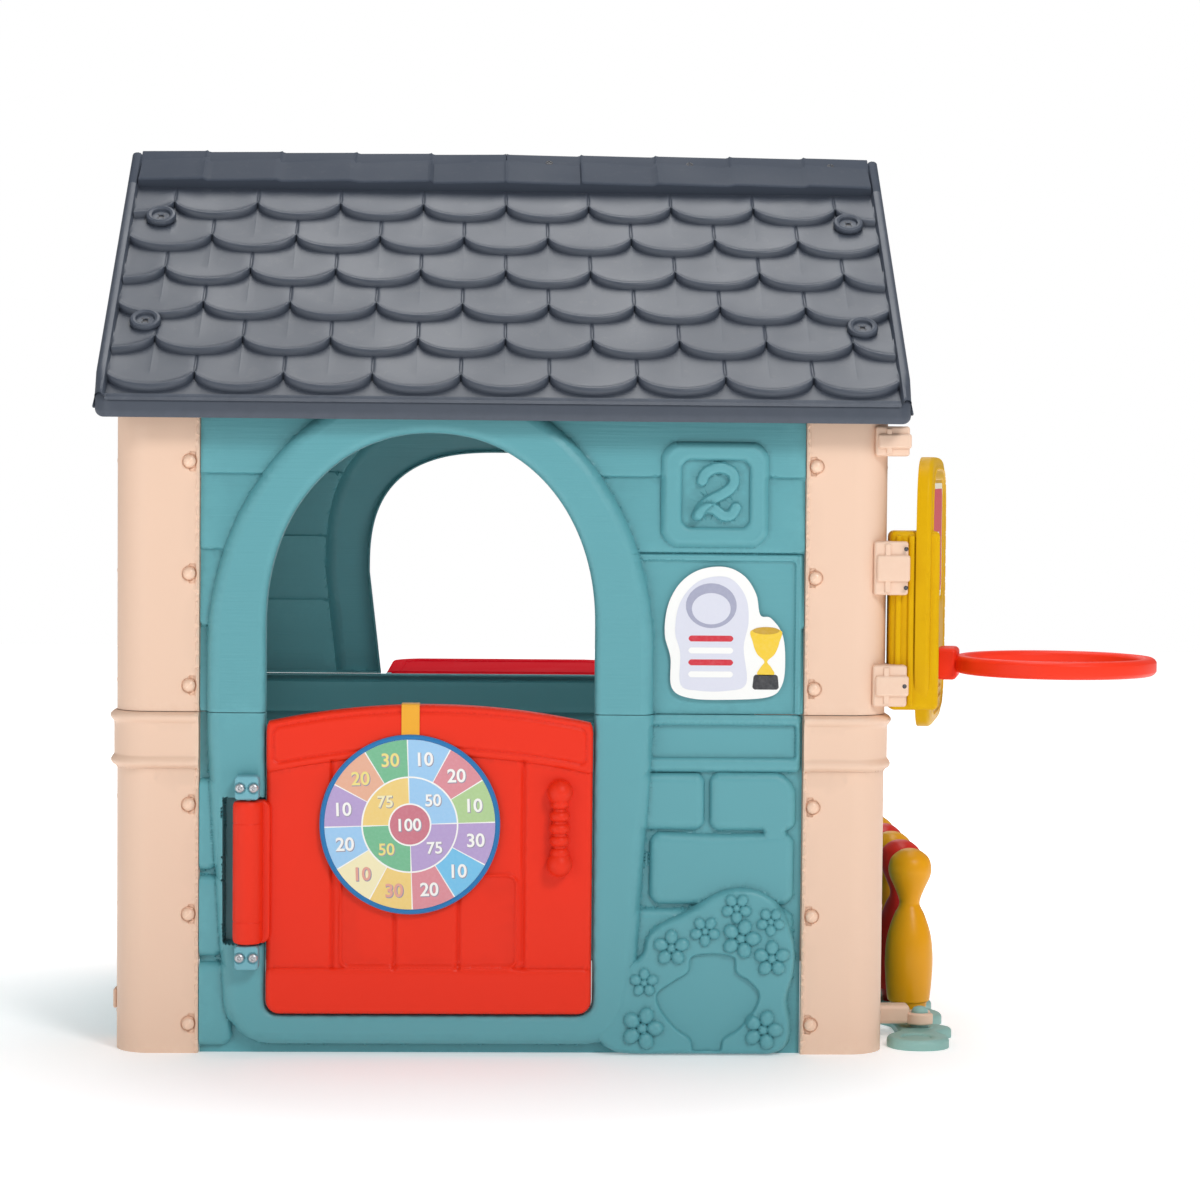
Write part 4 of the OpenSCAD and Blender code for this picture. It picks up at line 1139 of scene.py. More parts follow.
def column_relief(z0, z1, reach, bolts, belt):
    """A column unrolled flat: pinched bolt seats, an edge lip and the belt around its top."""
    def base(p):
        z = p[:, 1]
        if not belt:
            return np.zeros(len(p))
        flat = 4.0 * quarter_round((z - BELT_Z[0] - 6) / 5) * quarter_round((z1 - z) / 5)
        return flat + torus_band(z, z1 - 7.5, 8, 5) + torus_band(z, BELT_Z[0] + 13, 8, 4.4)
    relief = Relief(rectangle(-reach, reach, z0, z1), fill=22, base=base)
    ups = np.arange(z0 + 8, z1, 12)
    for u in np.linspace(-46, 46, 17):
        relief.extra.append(np.column_stack([np.full(len(ups), u), ups]))
    if belt:
        across = np.arange(-reach + 4, reach, 6)
        for z in np.concatenate([np.linspace(BELT_Z[0] + 5, BELT_Z[0] + 23, 13),
                np.linspace(z1 - 15, z1 - 0.4, 12),
                np.linspace(BELT_Z[0] + 28, z1 - 20, 4)]):
            relief.extra.append(np.column_stack([across, np.full(len(across), z)]))
    for side in (-1, 1):
        edge = side * (reach - 3)
        top = z1 - 3 if not belt else BELT_Z[0] + 3
        relief.bead([(edge, z0 + 2), (edge, top)], 2.4, 2.8, closed=False, step=9)
        for z in bolts:
            centre = side * (reach - 13)
            tab = sorted((side * (reach - 14), side * (reach - 5)))
            relief.raise_(rectangle(*tab, z - 13, z + 13, 1.5), -2.4, edge=1.2, draft=0.6, step=3)
            relief.raise_(ellipse(centre, z, 10.2, 10.2), -2.0, edge=1.0, draft=0.5, step=2.2)
    return relief


def build_columns():
    """Four corner columns, each in a lower and an upper length."""
    for front_back, sy in (("front", -1), ("rear", 1)):
        for left_right, sx in (("left", -1), ("right", 1)):
            bend, reach = corner_bend(sx, sy)
            for level, z0, z1, bolts in (("lower", 0, SEAM_Z - SEAM_GAP, LOWER_BOLTS),
                    ("upper", SEAM_Z + SEAM_GAP, WALL_TOP, UPPER_BOLTS)):
                relief = column_relief(z0, z1, reach, bolts, level == "lower")
                shape = bent(relief.build(-COLUMN_PROUD), bend)
                if sx * sy > 0:
                    shape = shape[0], [f[::-1] for f in shape[1]]
                name = f"{level}_column_{front_back}_{left_right}"
                piece(f"corner_{level}_{front_back}_{left_right}", [shape], ["column"], replaces=[name],
                      slot="column_cream", skin=3.2)


def bolt_head(radius, dome):
    """Domed cap on a thin washer."""
    turn = np.linspace(0, math.pi / 2, 8)
    cap = [(radius * math.sin(a), 2.2 + (dome - 2.2) * math.cos(a)) for a in turn]
    return lathe([*cap, (radius, -3.2), (radius + 0.6, -3.6), (radius + 0.6, -4.6), (0, -4.6)], 36)


def build_bolts():
    """Domed cap bolts along both edges of each column."""
    for front_back, sy in (("front", -1), ("rear", 1)):
        for left_right, sx in (("left", -1), ("right", 1)):
            shapes = []
            for z in (*LOWER_BOLTS, *UPPER_BOLTS):
                for place, way in (((sx * BOLT_X, sy * HALF_D, z), (0, sy, 0)),
                        ((sx * HALF_W, sy * (EDGE_Y + 13), z), (sx, 0, 0))):
                    shapes += [at(bolt_head(8.2, 7.4), place, way)]
            name = f"bolts_{front_back}_{left_right}"
            piece(f"cap_{name}", shapes, ["bolt"] * len(shapes), replaces=[name], slot="bolt_cream")


def build_gables():
    """Boarded triangles under the ends of the roof."""
    for name, sign, bend in (("gable_left", -1, on_left), ("gable_right", 1, on_right)):
        half = HALF_D - 28
        edge = DECK_Z0 + (EAVE_Y * -1 - half) * math.tan(PITCH) - 0.8
        outline = [(-half, 843), (half, 843), (half, edge), (0, DECK_Z1 - 0.8), (-half, edge)]
        lines = (900, 975, 1050, 1125)
        relief = Relief(outline, base=boards(lines, 843, 1300))
        board_points(relief, lines, -half, half)
        sheet_piece(f"{name}_boards", relief, bend, "boards", replaces=[name], slot="wall_teal", skin=SKIN)


# ---- roof ----------------------------------------------------------------------------------------

def tile_height(u, s, scallop, bead):
    """Height of the tiles over the deck's underside, for columns u and heights up the slope s."""
    h = np.full(u.shape, 5.0)
    for row in range(TILE_ROWS):
        middle = 0.5 * TILE_W * (row % 2)
        t = ((u - middle) / TILE_W + 0.5) % 1.0 * 2 - 1
        edge = FIRST_ROW + row * ROW_PITCH + scallop * (1 - np.sqrt(np.maximum(1 - t * t, 0)))
        q = s - edge
        lean = 13.0 - 6.5 * np.clip(q / ROW_PITCH, 0, 1.3)
        tile = lean - 5 * (1 - quarter_round(q / 4.5)) + bead * np.exp(-((q - 6) / 4) ** 2)
        seam = (1 - np.abs(t)) * TILE_W / 2
        tile -= 2.6 * np.exp(-(seam / 1.6) ** 2) + 1.1 * np.exp(-(seam / 7) ** 2)
        h = np.where(q >= 0, np.maximum(tile, 5.2), h)
    return h


def build_roof_panel(name, node, turned, sizes):
    """One slope: tiles, rolled ends, an eave board and the stepped cap along the ridge."""
    scallop, bead = sizes.scallop * 1000, sizes.tile_bead * 1000
    fine = np.array([-9, -6, -4, -2.5, -1.5, -0.7, 0, 0.7, 1.5, 2.5, 4, 6, 9])
    cusps = np.arange(-10, 11) * TILE_W / 2
    inner = ROOF_HALF - 16
    marks = np.concatenate([np.arange(-inner, inner + 1, 7), (cusps[:, None] + fine).ravel()])
    u = np.unique(np.round(marks[np.abs(marks) < inner], 1))
    u = u[np.concatenate([[True], np.diff(u) > 0.55])]
    u = np.concatenate([[-inner], u[(u > -inner + 0.5) & (u < inner - 0.5)], [inner]])
    steps = np.array([-0.5, 0.05, 0.8, 2.0, 3.4, 5, 7, 9.5, 13, 20, 30, 42])

    def tile_edge(x, row):
        t = ((x - 0.5 * TILE_W * (row % 2)) / TILE_W + 0.5) % 1.0 * 2 - 1
        return FIRST_ROW + row * ROW_PITCH + scallop * (1 - math.sqrt(max(1 - t * t, 0)))

    columns = []
    for x in u:
        line = [4.0, 8.0, 13.0]
        for row in range(TILE_ROWS):
            edge = tile_edge(x, row)
            limit = (tile_edge(x, row + 1) if row < TILE_ROWS - 1 else CAP_S) - 1.0
            line += [min(s, limit - 0.4 * (len(steps) - k)) if s > edge + 4 else s
                    for k, s in enumerate(edge + steps)]
        columns.append(line)
    s = np.array(columns)
    grid_u = np.repeat(u[:, None], s.shape[1], axis=1)
    n = tile_height(grid_u, s, scallop, bead)
    cap_s = np.array([-0.6, 0.2, 1.2, 3, 6, 12, 22, 36, 52, 66])
    cap = CAP_S + cap_s
    cap = cap[cap < SLOPE - 8]
    tooth = np.where(u < 0, (u / 108) % 1.0, 1 - (u / 108) % 1.0)
    joint = np.exp(-((np.minimum((u / 108) % 1.0, 1 - (u / 108) % 1.0) * 108) / 2.2) ** 2)
    cap_n = np.where(cap[None] < CAP_S, 5.5, 20.0 - 11.0 * np.clip((cap[None] - CAP_S) / 66, 0, 1)
            + 3.2 * tooth[:, None] + 1.6 * joint[:, None]
            - 3.5 * (1 - quarter_round((cap[None] - CAP_S) / 4)))
    s = np.concatenate([s, np.repeat(cap[None], len(u), axis=0)], axis=1)
    n = np.concatenate([n, cap_n], axis=1)
    ridge = np.repeat([[SLOPE - 3]], len(u), axis=0)
    s = np.concatenate([s, ridge], axis=1)
    n = np.concatenate([n, np.full((len(u), 1), 9.0)], axis=1)
    y, z = slope_point(s, n)
    y = np.minimum(y, -0.3)
    nose_y = np.array([EAVE_Y, EAVE_Y, EAVE_Y, EAVE_Y + 1.5, EAVE_Y + 5])
    nose_z = np.array([EAVE_Z, EAVE_Z + 10, EAVE_Z + 20, EAVE_Z + 27, EAVE_Z + 31])
    y = np.concatenate([np.repeat(nose_y[None], len(u), axis=0), y], axis=1)
    z = np.concatenate([np.repeat(nose_z[None], len(u), axis=0), z], axis=1)
    rows = y.shape[1]
    s_mid = np.concatenate([np.array([-12, -8, -4, -1, 2]), np.median(s, axis=0)])
    ends_y, ends_z = slope_point(s_mid, np.full(rows, 13.0))
    ends_y[:5], ends_z[:5] = nose_y, nose_z
    ends_y = np.minimum(ends_y, -0.3)
    foot = np.maximum(ends_z - 30, EAVE_Z)
    verge = [(ROOF_HALF - 14.5, -3.0), (ROOF_HALF - 12.5, 0.6), (ROOF_HALF - 9, 2.0), (ROOF_HALF - 5, 1.6),
            (ROOF_HALF - 2, 0.0), (ROOF_HALF - 0.4, -2.6), (ROOF_HALF, -6.0)]
    xs, ys, zs = [], [], []
    for x, rise in verge:
        xs.append(np.full(rows, x))
        ys.append(np.minimum(ends_y - rise * math.sin(PITCH) * (ends_z > EAVE_Z + 32), -0.3))
        zs.append(ends_z + rise * math.cos(PITCH))
        zs[-1][:3] = nose_z[:3]
    xs.append(np.full(rows, ROOF_HALF))
    ys.append(ends_y)
    zs.append(foot)
    X = np.concatenate([-np.array(xs)[::-1], np.repeat(u[:, None], rows, axis=1), np.array(xs)])
    Y = np.concatenate([np.array(ys)[::-1], y, np.array(ys)])
    Z = np.concatenate([np.array(zs)[::-1], z, np.array(zs)])
    corner = 24.0
    past = np.maximum(np.abs(X) - (ROOF_HALF - corner), 0)
    lead = corner - np.sqrt(np.maximum(corner ** 2 - past ** 2, 0))
    close = np.clip(1 - (Y - EAVE_Y) / 34, 0, 1)
    Y = Y + lead * close
    foot_past = np.clip(np.abs(X) - (ROOF_HALF - 14), 0, 14)
    Z = np.maximum(Z, EAVE_Z + (14 - np.sqrt(196 - foot_past ** 2)) * close)
    verts = np.stack([X, Y, Z], axis=-1).reshape(-1, 3)
    m = X.shape[0]
    ids = np.arange(m * rows).reshape(m, rows)
    faces = np.stack([ids[:-1, :-1], ids[1:, :-1], ids[1:, 1:], ids[:-1, 1:]], axis=-1)
    cap_row = rows - cap_n.shape[1] - 1
    shapes = [(verts, faces[:, :cap_row].reshape(-1, 4).tolist()),
            (verts, faces[:, cap_row:].reshape(-1, 4).tolist()),
            ridge_flap(), *screw_seats()]
    if turned:
        shapes = [moved(shape, Matrix.Rotation(math.pi, 4, "Z")) for shape in shapes]
    return piece(name, shapes, ["roof", "ridge", "ridge"] + ["roof"] * (len(shapes) - 3), replaces=[node],
            slot="roof_slate", skin=3.0, sharp=34)


def ridge_flap():
    """Cap over the far slope along one half of the ridge, in lapped lengths."""
    top = DECK_Z1 + 7 / math.cos(PITCH) + 0.6
    slope = math.tan(PITCH)
    xs = []
    for k in range(5):
        xs += [-0.6 - 108 * k, -2.2 - 108 * k, -5 - 108 * k, -54 - 108 * k, -103 - 108 * k, -106.5 - 108 * k]
    xs = sorted(max(x, -ROOF_HALF + 14) for x in xs)
    out_y = np.array([-30, -12, -5, 0, 5, 12, 19, 22, 24, 24.4])
    out_z = np.where(np.abs(out_y) < 5.5, top + 2.6 - np.abs(out_y) * 0.45, top + 3.6 - np.abs(out_y) * slope)
    out_z[-2:] -= (0.9, 3.2)
    verts, faces = [], []
    for x in xs:
        lift = 1.2 * math.exp(-(min(-x % 108, 108 - (-x % 108)) / 2.5) ** 2) + 1.6 * ((x / 108) % 1.0)
        for y, z in zip(out_y, out_z):
            verts.append((x, y, min(z + lift, RIDGE_Z + 6)))
    n = len(out_y)
    for i in range(len(xs) - 1):
        for j in range(n - 1):
            a = i * n + j
            faces.append([a, a + n, a + n + 1, a + 1])
    return np.array(verts), faces


def screw_places():
    """Place and direction of each roof screw, four on the slope and three in the ridge flap."""
    up = Vector((0, -math.sin(PITCH), math.cos(PITCH)))
    for x in (-485, 485):
        for share in (0.29, 0.72):
            y, z = slope_point(share * SLOPE, 13.5)
            yield Vector((x, y, z)), up, 13.5
    for x in (62, 266, 471):
        y = 15
        z = DECK_Z1 + 7 / math.cos(PITCH) + 4.4 - y * math.tan(PITCH)
        yield Vector((-x, y, z)), Vector((0, math.sin(PITCH), math.cos(PITCH))), 6.0


def screw_seats():
    """Round wells around the slope screws."""
    ring = [(18, -4), (18.2, -0.3), (17.6, 0.7), (16.6, 1.1), (15.6, 0.6), (15.2, -0.6), (15.2, -3.2),
            (14.6, -3.8),
            (4, -4)]
    return [at(lathe(ring[::-1], 40), place, way) for place, way, size in screw_places() if size > 10]


def cross_screw(radius):
    """A flat-topped screw head with a cross recess."""
    arm, half = 0.62 * radius, 0.17 * radius
    cross = [(arm, -half), (arm, half), (half, half), (half, arm), (-half, arm), (-half, half), (-arm, half),
            (-arm, -half), (-half, -half), (-half, -arm), (half, -arm), (half, -half)]
    relief = Relief(ellipse(0, 0, radius, radius, count=40), step=3, fill=radius / 4,
            base=lambda p: 0.22 * radius * (1 - (np.linalg.norm(p, axis=1) / radius) ** 2))
    relief.raise_(np.array(cross), -0.2 * radius, edge=0.08 * radius, draft=0.1, step=1.2)
    relief.roll(ellipse(0, 0, radius, radius, count=40), 0.22 * radius, step=1.5)
    return relief.build(-0.5 * radius)


def build_roof_screws():
    """Large screws on the slopes and small ones on the ridge."""
    shapes = []
    for place, way, size in screw_places():
        for turn in (0, math.pi):
            spin = Matrix.Rotation(turn, 4, "Z")
            drop = -3.2 if size > 10 else 0.4
            head = shifted(cross_screw(size), 0, 0, drop)
            shapes.append(moved(at(head, place, way), spin))
    return piece("roof_cross_screws", shapes, ["roof_screw"] * len(shapes), replaces=["roof_screws"],
            slot="roof_screw_grey")


def build_roof(sizes):
    """Both slopes, with the seats for their screws."""
    build_roof_panel("roof_tiles_front", "roof_front", False, sizes)
    build_roof_panel("roof_tiles_rear", "roof_rear", True, sizes)


# ---- door ----------------------------------------------------------------------------------------

def leaf_top(x):
    """Height of the door leaf's curved top edge."""
    return LEAF_HI[2] - 24 * ((x - DOOR_X) / 217) ** 2


def leaf_outline():
    """Outline of the door leaf."""
    x = np.linspace(LEAF_HI[0] - 3, LEAF_LO[0] + 3, 40)
    lo, hi, foot = LEAF_LO[0], LEAF_HI[0], LEAF_LO[2]
    upper = [(hi, leaf_top(hi) - 12), (hi - 0.8, leaf_top(hi) - 5), *zip(x, leaf_top(x)),
            (lo + 0.8, leaf_top(lo) - 5), (lo, leaf_top(lo) - 12)]
    return np.concatenate([quarter(hi - 18, foot + 18, 18, 270), upper, quarter(lo + 18, foot + 18, 18, 180)])


def top_rail(inset, foot):
    """The arched rail along the leaf's upper edge, drawn in by an inset."""
    lo, hi = LEAF_LO[0] + inset, LEAF_HI[0] - inset
    x = np.linspace(hi, lo, 26)
    ring = [*zip(x, leaf_top(x) - inset), *zip(x[::-1], leaf_top(x[::-1]) - foot)]
    radii = [16] + [200] * 24 + [16, 22] + [200] * 24 + [22]
    return rounded(ring, radii)


def build_door(sizes):
    """The half door with its rails, planks, frame bead, pull and hinge barrel."""
    outline = leaf_outline()
    front = Relief(outline, base=lambda p: np.full(len(p), 25.0))
    front.raise_(top_rail(-4, 66), 4.4, edge=6, draft=2)
    front.raise_(rectangle(LEAF_LO[0] - 6, LEAF_HI[0] + 6, LEAF_LO[2] - 20, 116, 12), 4.4, edge=6, draft=2)
    for x in (-225, -142, -57, 29):
        front.bead([(x, 118), (x, leaf_top(x) - 68)], -3.8, 5.5, closed=False)
    front.bead(rectangle(-214, 20, 119, 243, 9), 3.2, 4.0)
    front.bead(top_rail(9, 57), -2.2, 3.8)
    front.roll(outline, sizes.door_round * 1000, step=4)
    back = Relief(outline, base=lambda p: np.zeros(len(p)))
    for z0, z1 in ((150, 262), (274, 386)):
        for x0, x1 in ((-292, -104), (-90, 100)):
            back.raise_(rectangle(x0, x1, z0, z1, 14), -5, edge=7, draft=2)
    v, f = back.build(0.0)
    v = v.copy()
    v[:, 2] = 7.0 - v[:, 2]
    shapes = [bent(front.build(7.0), on_front), (on_front(v), [face[::-1] for face in f])]
    knuckle = [(r, BARREL_Z[0] + z) for z, r in ((0, 15), (1.5, 18.2), (5, 19.8), (9, 20))]
    knuckle += [(20, BARREL_Z[0] + 28), (19.2, BARREL_Z[0] + 29.5), (20, BARREL_Z[0] + 31)]
    knuckle += [(20, BARREL_Z[1] - 31), (19.2, BARREL_Z[1] - 29.5), (20, BARREL_Z[1] - 28)]
    knuckle += [(r, BARREL_Z[0] + BARREL_Z[1] - z) for r, z in knuckle[3::-1]]
    knuckle = [(0, BARREL_Z[0])] + knuckle + [(0, BARREL_Z[1])]
    shapes.append(shifted(lathe(knuckle, 48), HINGE[0], HINGE[1], 0))
    plate = rounded([(HINGE[0], BARREL_Z[0]), (-307, BARREL_Z[0]), (-307, BARREL_Z[1]),
            (HINGE[0], BARREL_Z[1])],
            [2, 9, 9, 2])
    flange = Relief(plate, step=5, base=lambda p: np.full(len(p), 34.0))
    flange.roll(plate, 3.5)
    shapes.append(bent(flange.build(16.0), on_front))
    shapes += pull_handle()
    return piece("half_door", shapes, ["door"] * len(shapes), body="door", replaces=["door"], slot="door_red")


def pull_handle():
    """Ringed upright bar between two balls, on two feet."""
    x, y, z0, z1 = 77, -(FRONT + 35), 242, 372
    out = []
    profile = [(0, 0)] + [(r, z + 17) for z, r in ((-16.4, 4.5), (-14, 9.6), (-10, 13.8), (-5, 16.3), (0, 17),
            (5, 16.3), (10, 13.8), (13, 11))]
    length = z1 - z0
    rings = ((32, 11.5), (48.5, 12.5), (65, 13), (81.5, 12.5), (98, 11.5))
    for z, r in rings:
        profile += [(r - 3.2, z - 6.5), (r - 1.0, z - 5.2), (r + 0.4, z - 2.5), (r + 0.8, z),
                (r + 0.4, z + 2.5),
                (r - 1.0, z + 5.2), (r - 3.2, z + 6.5)]
    profile += [(r, length - z) for r, z in reversed([(0, 0), (4.5, 0.6), (9.6, 3), (13.8, 7), (16.3, 12),
            (17, 17),
            (16.3, 22), (13.8, 27), (11, 30)])]
    out.append(shifted(lathe(profile, 48), x, y, z0))
    for z in (z0 + 17, z1 - 17):
        foot = lathe([(0, 22), (8.4, 22), (8.6, 10), (10, 5), (13.5, 1.5), (16, 0), (16, -2)], 32)
        out.append(at(foot, (x, -(FRONT + 24.5), z), (0, -1, 0)))
    return out


def build_hinge():
    """Two blocks that hold the hinge pin to the surround, and their button screws."""
    screws = []
    for name, node, zc in (("hinge_block_upper", "upper_hinge_bracket", 360),
            ("hinge_block_lower", "lower_hinge_bracket", 134)):
        relief = Relief(rectangle(-353, -321, zc - 16, zc + 16, 4), step=3, fill=10,
                base=lambda p: np.full(len(p), 49.0))
        relief.roll(rectangle(-353, -321, zc - 16, zc + 16, 4), 3.5, step=3)
        relief.bead([(-353, zc), (-321, zc)], -1.2, 1.6, closed=False, step=3)
        for x in (-346, -328):
            relief.raise_(ellipse(x, zc, 8, 8), -2.6, edge=1.6, draft=0.5, step=2)
        sheet_piece(name, relief, on_front, "bracket", depth=24.5, replaces=[node], slot="bracket_blue")
        for x in (-346, -328):
            screws.append(at(button_screw(6.3), (x, -(FRONT + 47.2), zc), (0, -1, 0)))
    piece("hinge_button_screws", screws, ["steel"] * len(screws), replaces=["hinge_screws"], slot="steel")


def button_screw(radius):
    """Domed screw head with a six-sided socket."""
    socket = ellipse(0, 0, 0.42 * radius, 0.42 * radius, count=6)
    relief = Relief(ellipse(0, 0, radius, radius, count=32), step=2, fill=radius / 3,
            base=lambda p: 0.5 * radius * np.sqrt(np.clip(1 - (np.linalg.norm(p, axis=1) / radius) ** 2, 0,
            1)))
    relief.raise_(socket, -0.36 * radius, edge=0.06 * radius, draft=0.1, step=1)
    return relief.build(-0.4 * radius)


# ---- dartboard -----------------------------------------------------------------------------------

def lettering(words, size, weight=0.0, turn=0.0):
    """Flat (right, up) points and faces of centred generic lettering."""
    curve = bpy.data.curves.new("lettering", "FONT")
    curve.body, curve.size, curve.offset = words, size, weight
    curve.align_x, curve.align_y, curve.fill_mode = "CENTER", "CENTER", "FRONT"
    curve.resolution_u = 4
    holder = bpy.data.objects.new("lettering", curve)
    mesh = holder.to_mesh()
    verts = np.array([v.co[:2] for v in mesh.vertices])
    faces = [list(p.vertices) for p in mesh.polygons]
    bpy.data.objects.remove(holder)
    bpy.data.curves.remove(curve)
    verts -= (verts.min(0) + verts.max(0)) / 2
    c, s = math.cos(turn), math.sin(turn)
    return verts @ np.array([[c, s], [-s, c]]), faces


def laid(flat, out):
    """Flat points and faces given a height, facing out."""
    verts, faces = flat
    turned = []
    for face in faces:
        a = verts[face]
        turned.append(face if area(a) > 0 else face[::-1])
    return np.column_stack([verts, np.full(len(verts), out)]), turned


OUTER_SECTORS = (("dart_blue", "10", "dart_line"), ("dart_pink", "20", "dart_line"),
        ("dart_lime", "10", "dart_line"),
        ("dart_purple", "30", "dart_line"), ("dart_sky", "10", "dart_line"), ("dart_pink", "20", "dart_line"),
        ("dart_gold", "30", "dart_rust"), ("dart_cream", "10", "dart_rust"), ("dart_blue", "20", "dart_line"),
        ("dart_purple", "10", "dart_line"), ("dart_orange", "20", "dart_yellow"),
        ("dart_green", "30", "dart_yellow"))
INNER_SECTORS = (("dart_blue", "50", "dart_line"), ("dart_purple", "75", "dart_line"),
        ("dart_green", "50", "dart_yellow"), ("dart_gold", "75", "dart_cream"))


def disc_face(out, lean):
    """The printed front: a bull, two rings of sectors, pale dividing lines and figures."""
    shapes, finishes = [], []
    rings = [(0.0, 26.5, 0), (26.5, 28.6, None), (28.6, 62.3, 4), (62.3, 64.4, None), (64.4, 113.2, 12)]
    for r0, r1, count in rings:
        if count == 0 or count is None:
            t = np.linspace(0, 2 * math.pi, 96, endpoint=False)
            loops = [np.stack([r * np.sin(t), r * np.cos(t)], axis=1) for r in (max(r0, 0.5), (r0 + r1) / 2,
                    r1)]
            verts = np.concatenate(loops)
            faces = [[k * 96 + i, k * 96 + (i + 1) % 96, (k + 1) * 96 + (i + 1) % 96, (k + 1) * 96 + i]
                    for k in range(2) for i in range(96)]
            if r0 == 0:
                faces.append(list(range(96)))
            shapes.append(laid((verts, faces), out))
            finishes.append("dart_bull" if count == 0 else "dart_line")
            continue
        sectors = INNER_SECTORS if count == 4 else OUTER_SECTORS
        step = 2 * math.pi / count
        for k, (ink, _, _) in enumerate(sectors):
            shift = 0.85 / r1
            t = np.linspace(k * step + shift, (k + 1) * step - shift, 4 + 96 // count) + lean
            r = np.linspace(r0, r1, 4)
            verts = np.stack([np.outer(r, np.sin(t)), np.outer(r, np.cos(t))], axis=-1).reshape(-1, 2)
            n = len(t)
            faces = [[a * n + i, a * n + i + 1, (a + 1) * n + i + 1, (a + 1) * n + i]
                    for a in range(3) for i in range(n - 1)]
            shapes.append(laid((verts, faces), out))
            finishes.append(ink)
            t = np.array([(k + 1) * step - shift, (k + 1) * step + shift]) + lean
            verts = np.stack([np.outer(r, np.sin(t)), np.outer(r, np.cos(t))], axis=-1).reshape(-1, 2)
            faces = [[a * 2, a * 2 + 1, (a + 1) * 2 + 1, (a + 1) * 2] for a in range(3)]
            shapes.append(laid((verts, faces), out))
            finishes.append("dart_line")
    for sectors, radius, size in ((INNER_SECTORS, 45, 22), (OUTER_SECTORS, 90, 25)):
        for k, (ink, figures, tint) in enumerate(sectors):
            a = (k + 0.5) * 2 * math.pi / len(sectors) + lean
            place = np.array([radius * math.sin(a), radius * math.cos(a)])
            for step, dx, dy, rise in ((0.052, 0.9, -0.9, 0.12), (0.03, 0, 0, 0.24)):
                verts, faces = lettering(figures, size, step * size * 0.6, -lean)
                shapes.append(laid((verts + place + (dx, dy), faces), out + rise))
                finishes.append("dart_shadow" if dx else tint)
    for step, dx, dy, rise in ((0.7, 0.9, -0.9, 0.12), (0.4, 0, 0, 0.24)):
        verts, faces = lettering("100", 23, step, -lean)
        shapes.append(laid((verts + (dx, dy), faces), out + rise))
        finishes.append("dart_shadow" if dx else "dart_line")
    return shapes, finishes


def build_dartboard(sizes):
    """Soft printed disc with a piped edge and the strap that hangs it on the door."""
    x, z = DISC[0], DISC[2]
    front, back = -DISC_LO[1] - FRONT, -DISC_HI[1] - FRONT
    shapes, finishes = disc_face(front - 0.4, -0.035)
    shapes = [shifted(shape, x, z, 0) for shape in shapes]
    felt = bent(lathe([(0, back), (DISC_R - 5, back), (DISC_R - 4, back + 1), (DISC_R - 4, front - 1.4),
            (DISC_R - 5, front - 0.7), (112, front - 0.6), (0, front - 0.6)], 96),
            lambda p: p + (x, z, 0))
    t = np.linspace(0, 2 * math.pi, 120, endpoint=False)
    r = sizes.piping * 1000
    round_ = [(r * math.cos(a), 0.72 * r * math.sin(a)) for a in np.linspace(0, 2 * math.pi, 12,
            endpoint=False)]
    middle = (front + back) / 2
    path = np.stack([x + (DISC_R - r) * np.cos(t), z + (DISC_R - r) * np.sin(t), np.full(120, middle)],
            axis=1)
    stitched = sweep(path, round_, closed=True)
    disc = piece("dartboard_felt", [bent(felt, on_front)], ["felt"], body="dartboard", replaces=["dartboard"],
            slot="dartboard_cloth", weighted=False)
    face = piece("dartboard_print", [bent(shape, on_front) for shape in shapes], finishes, body="dartboard",
            slot="dartboard_cloth", weighted=False)
    rim = piece("dartboard_piping", [bent(stitched, on_front)], ["piping"], body="dartboard",
            slot="dartboard_cloth", weighted=False)
    strap = piece("dartboard_hanger", [ribbon([(-(FRONT + 31.2), z + DISC_R - 3), (-(FRONT + 31.2), 450),
            (-(FRONT + 31.0), 468.6)], x, 24)], ["webbing"],
            body="dartboard", replaces=["dartboard_strap"], slot="strap_webbing", weighted=False)
    lo, hi = cad_box("strap_loop")
    y0, y1 = lo[1], hi[1]
    top = hi[2] - 0.7
    bend = [(y0 + 0.7, top - 2.5), (y0 + 1.0, top - 1.0), (y0 + 2.2, top - 0.2), (y0 + 4, top),
            ((y0 + y1) / 2, top + 0.2),
            (y1 - 3.6, top), (y1 - 1.7, top - 0.5), (y1 - 0.8, top - 2), (y1 - 0.7, top - 5), (y1 - 0.7,
            top - 30),
            (y1 - 0.7, lo[2] + 0.5)]
    loop = piece("dartboard_loop", [ribbon(bend, x, 24)], ["webbing"], body="door", replaces=["strap_loop"],
            slot="strap_webbing", weighted=False)


def ribbon(path, x, width, thick=1.3):
    """A flat strap along (y, z) points with rounded selvedges."""
    path = curve_through(np.array(path, float), steps=5)
    line = np.column_stack([np.full(len(path), float(x)), path])
    w, t = width / 2, thick / 2
    section = [(-w, 0), (-w + 0.4, -t), (-w / 2, -t), (0, -t), (w / 2, -t), (w - 0.4, -t), (w, 0),
            (w - 0.4, t),
            (w / 2, t), (0, t), (-w / 2, t), (-w + 0.4, t)]
    along = np.gradient(line, axis=0)
    along /= np.linalg.norm(along, axis=1, keepdims=True)
    side = np.tile((1.0, 0, 0), (len(line), 1))
    top = np.cross(along, side)
    section = np.array(section)
    verts = (line[:, None] + side[:, None] * section[None, :, :1] + top[:, None] * section[None, :,
            1:]).reshape(-1, 3)
    m = len(section)
    faces = [[i * m + j, (i + 1) * m + j, (i + 1) * m + (j + 1) % m, i * m + (j + 1) % m]
            for i in range(len(line) - 1) for j in range(m)]
    faces += [list(range(m)), list(range((len(line) - 1) * m, len(line) * m))[::-1]]
    return verts, faces


# ---- counter -------------------------------------------------------------------------------------

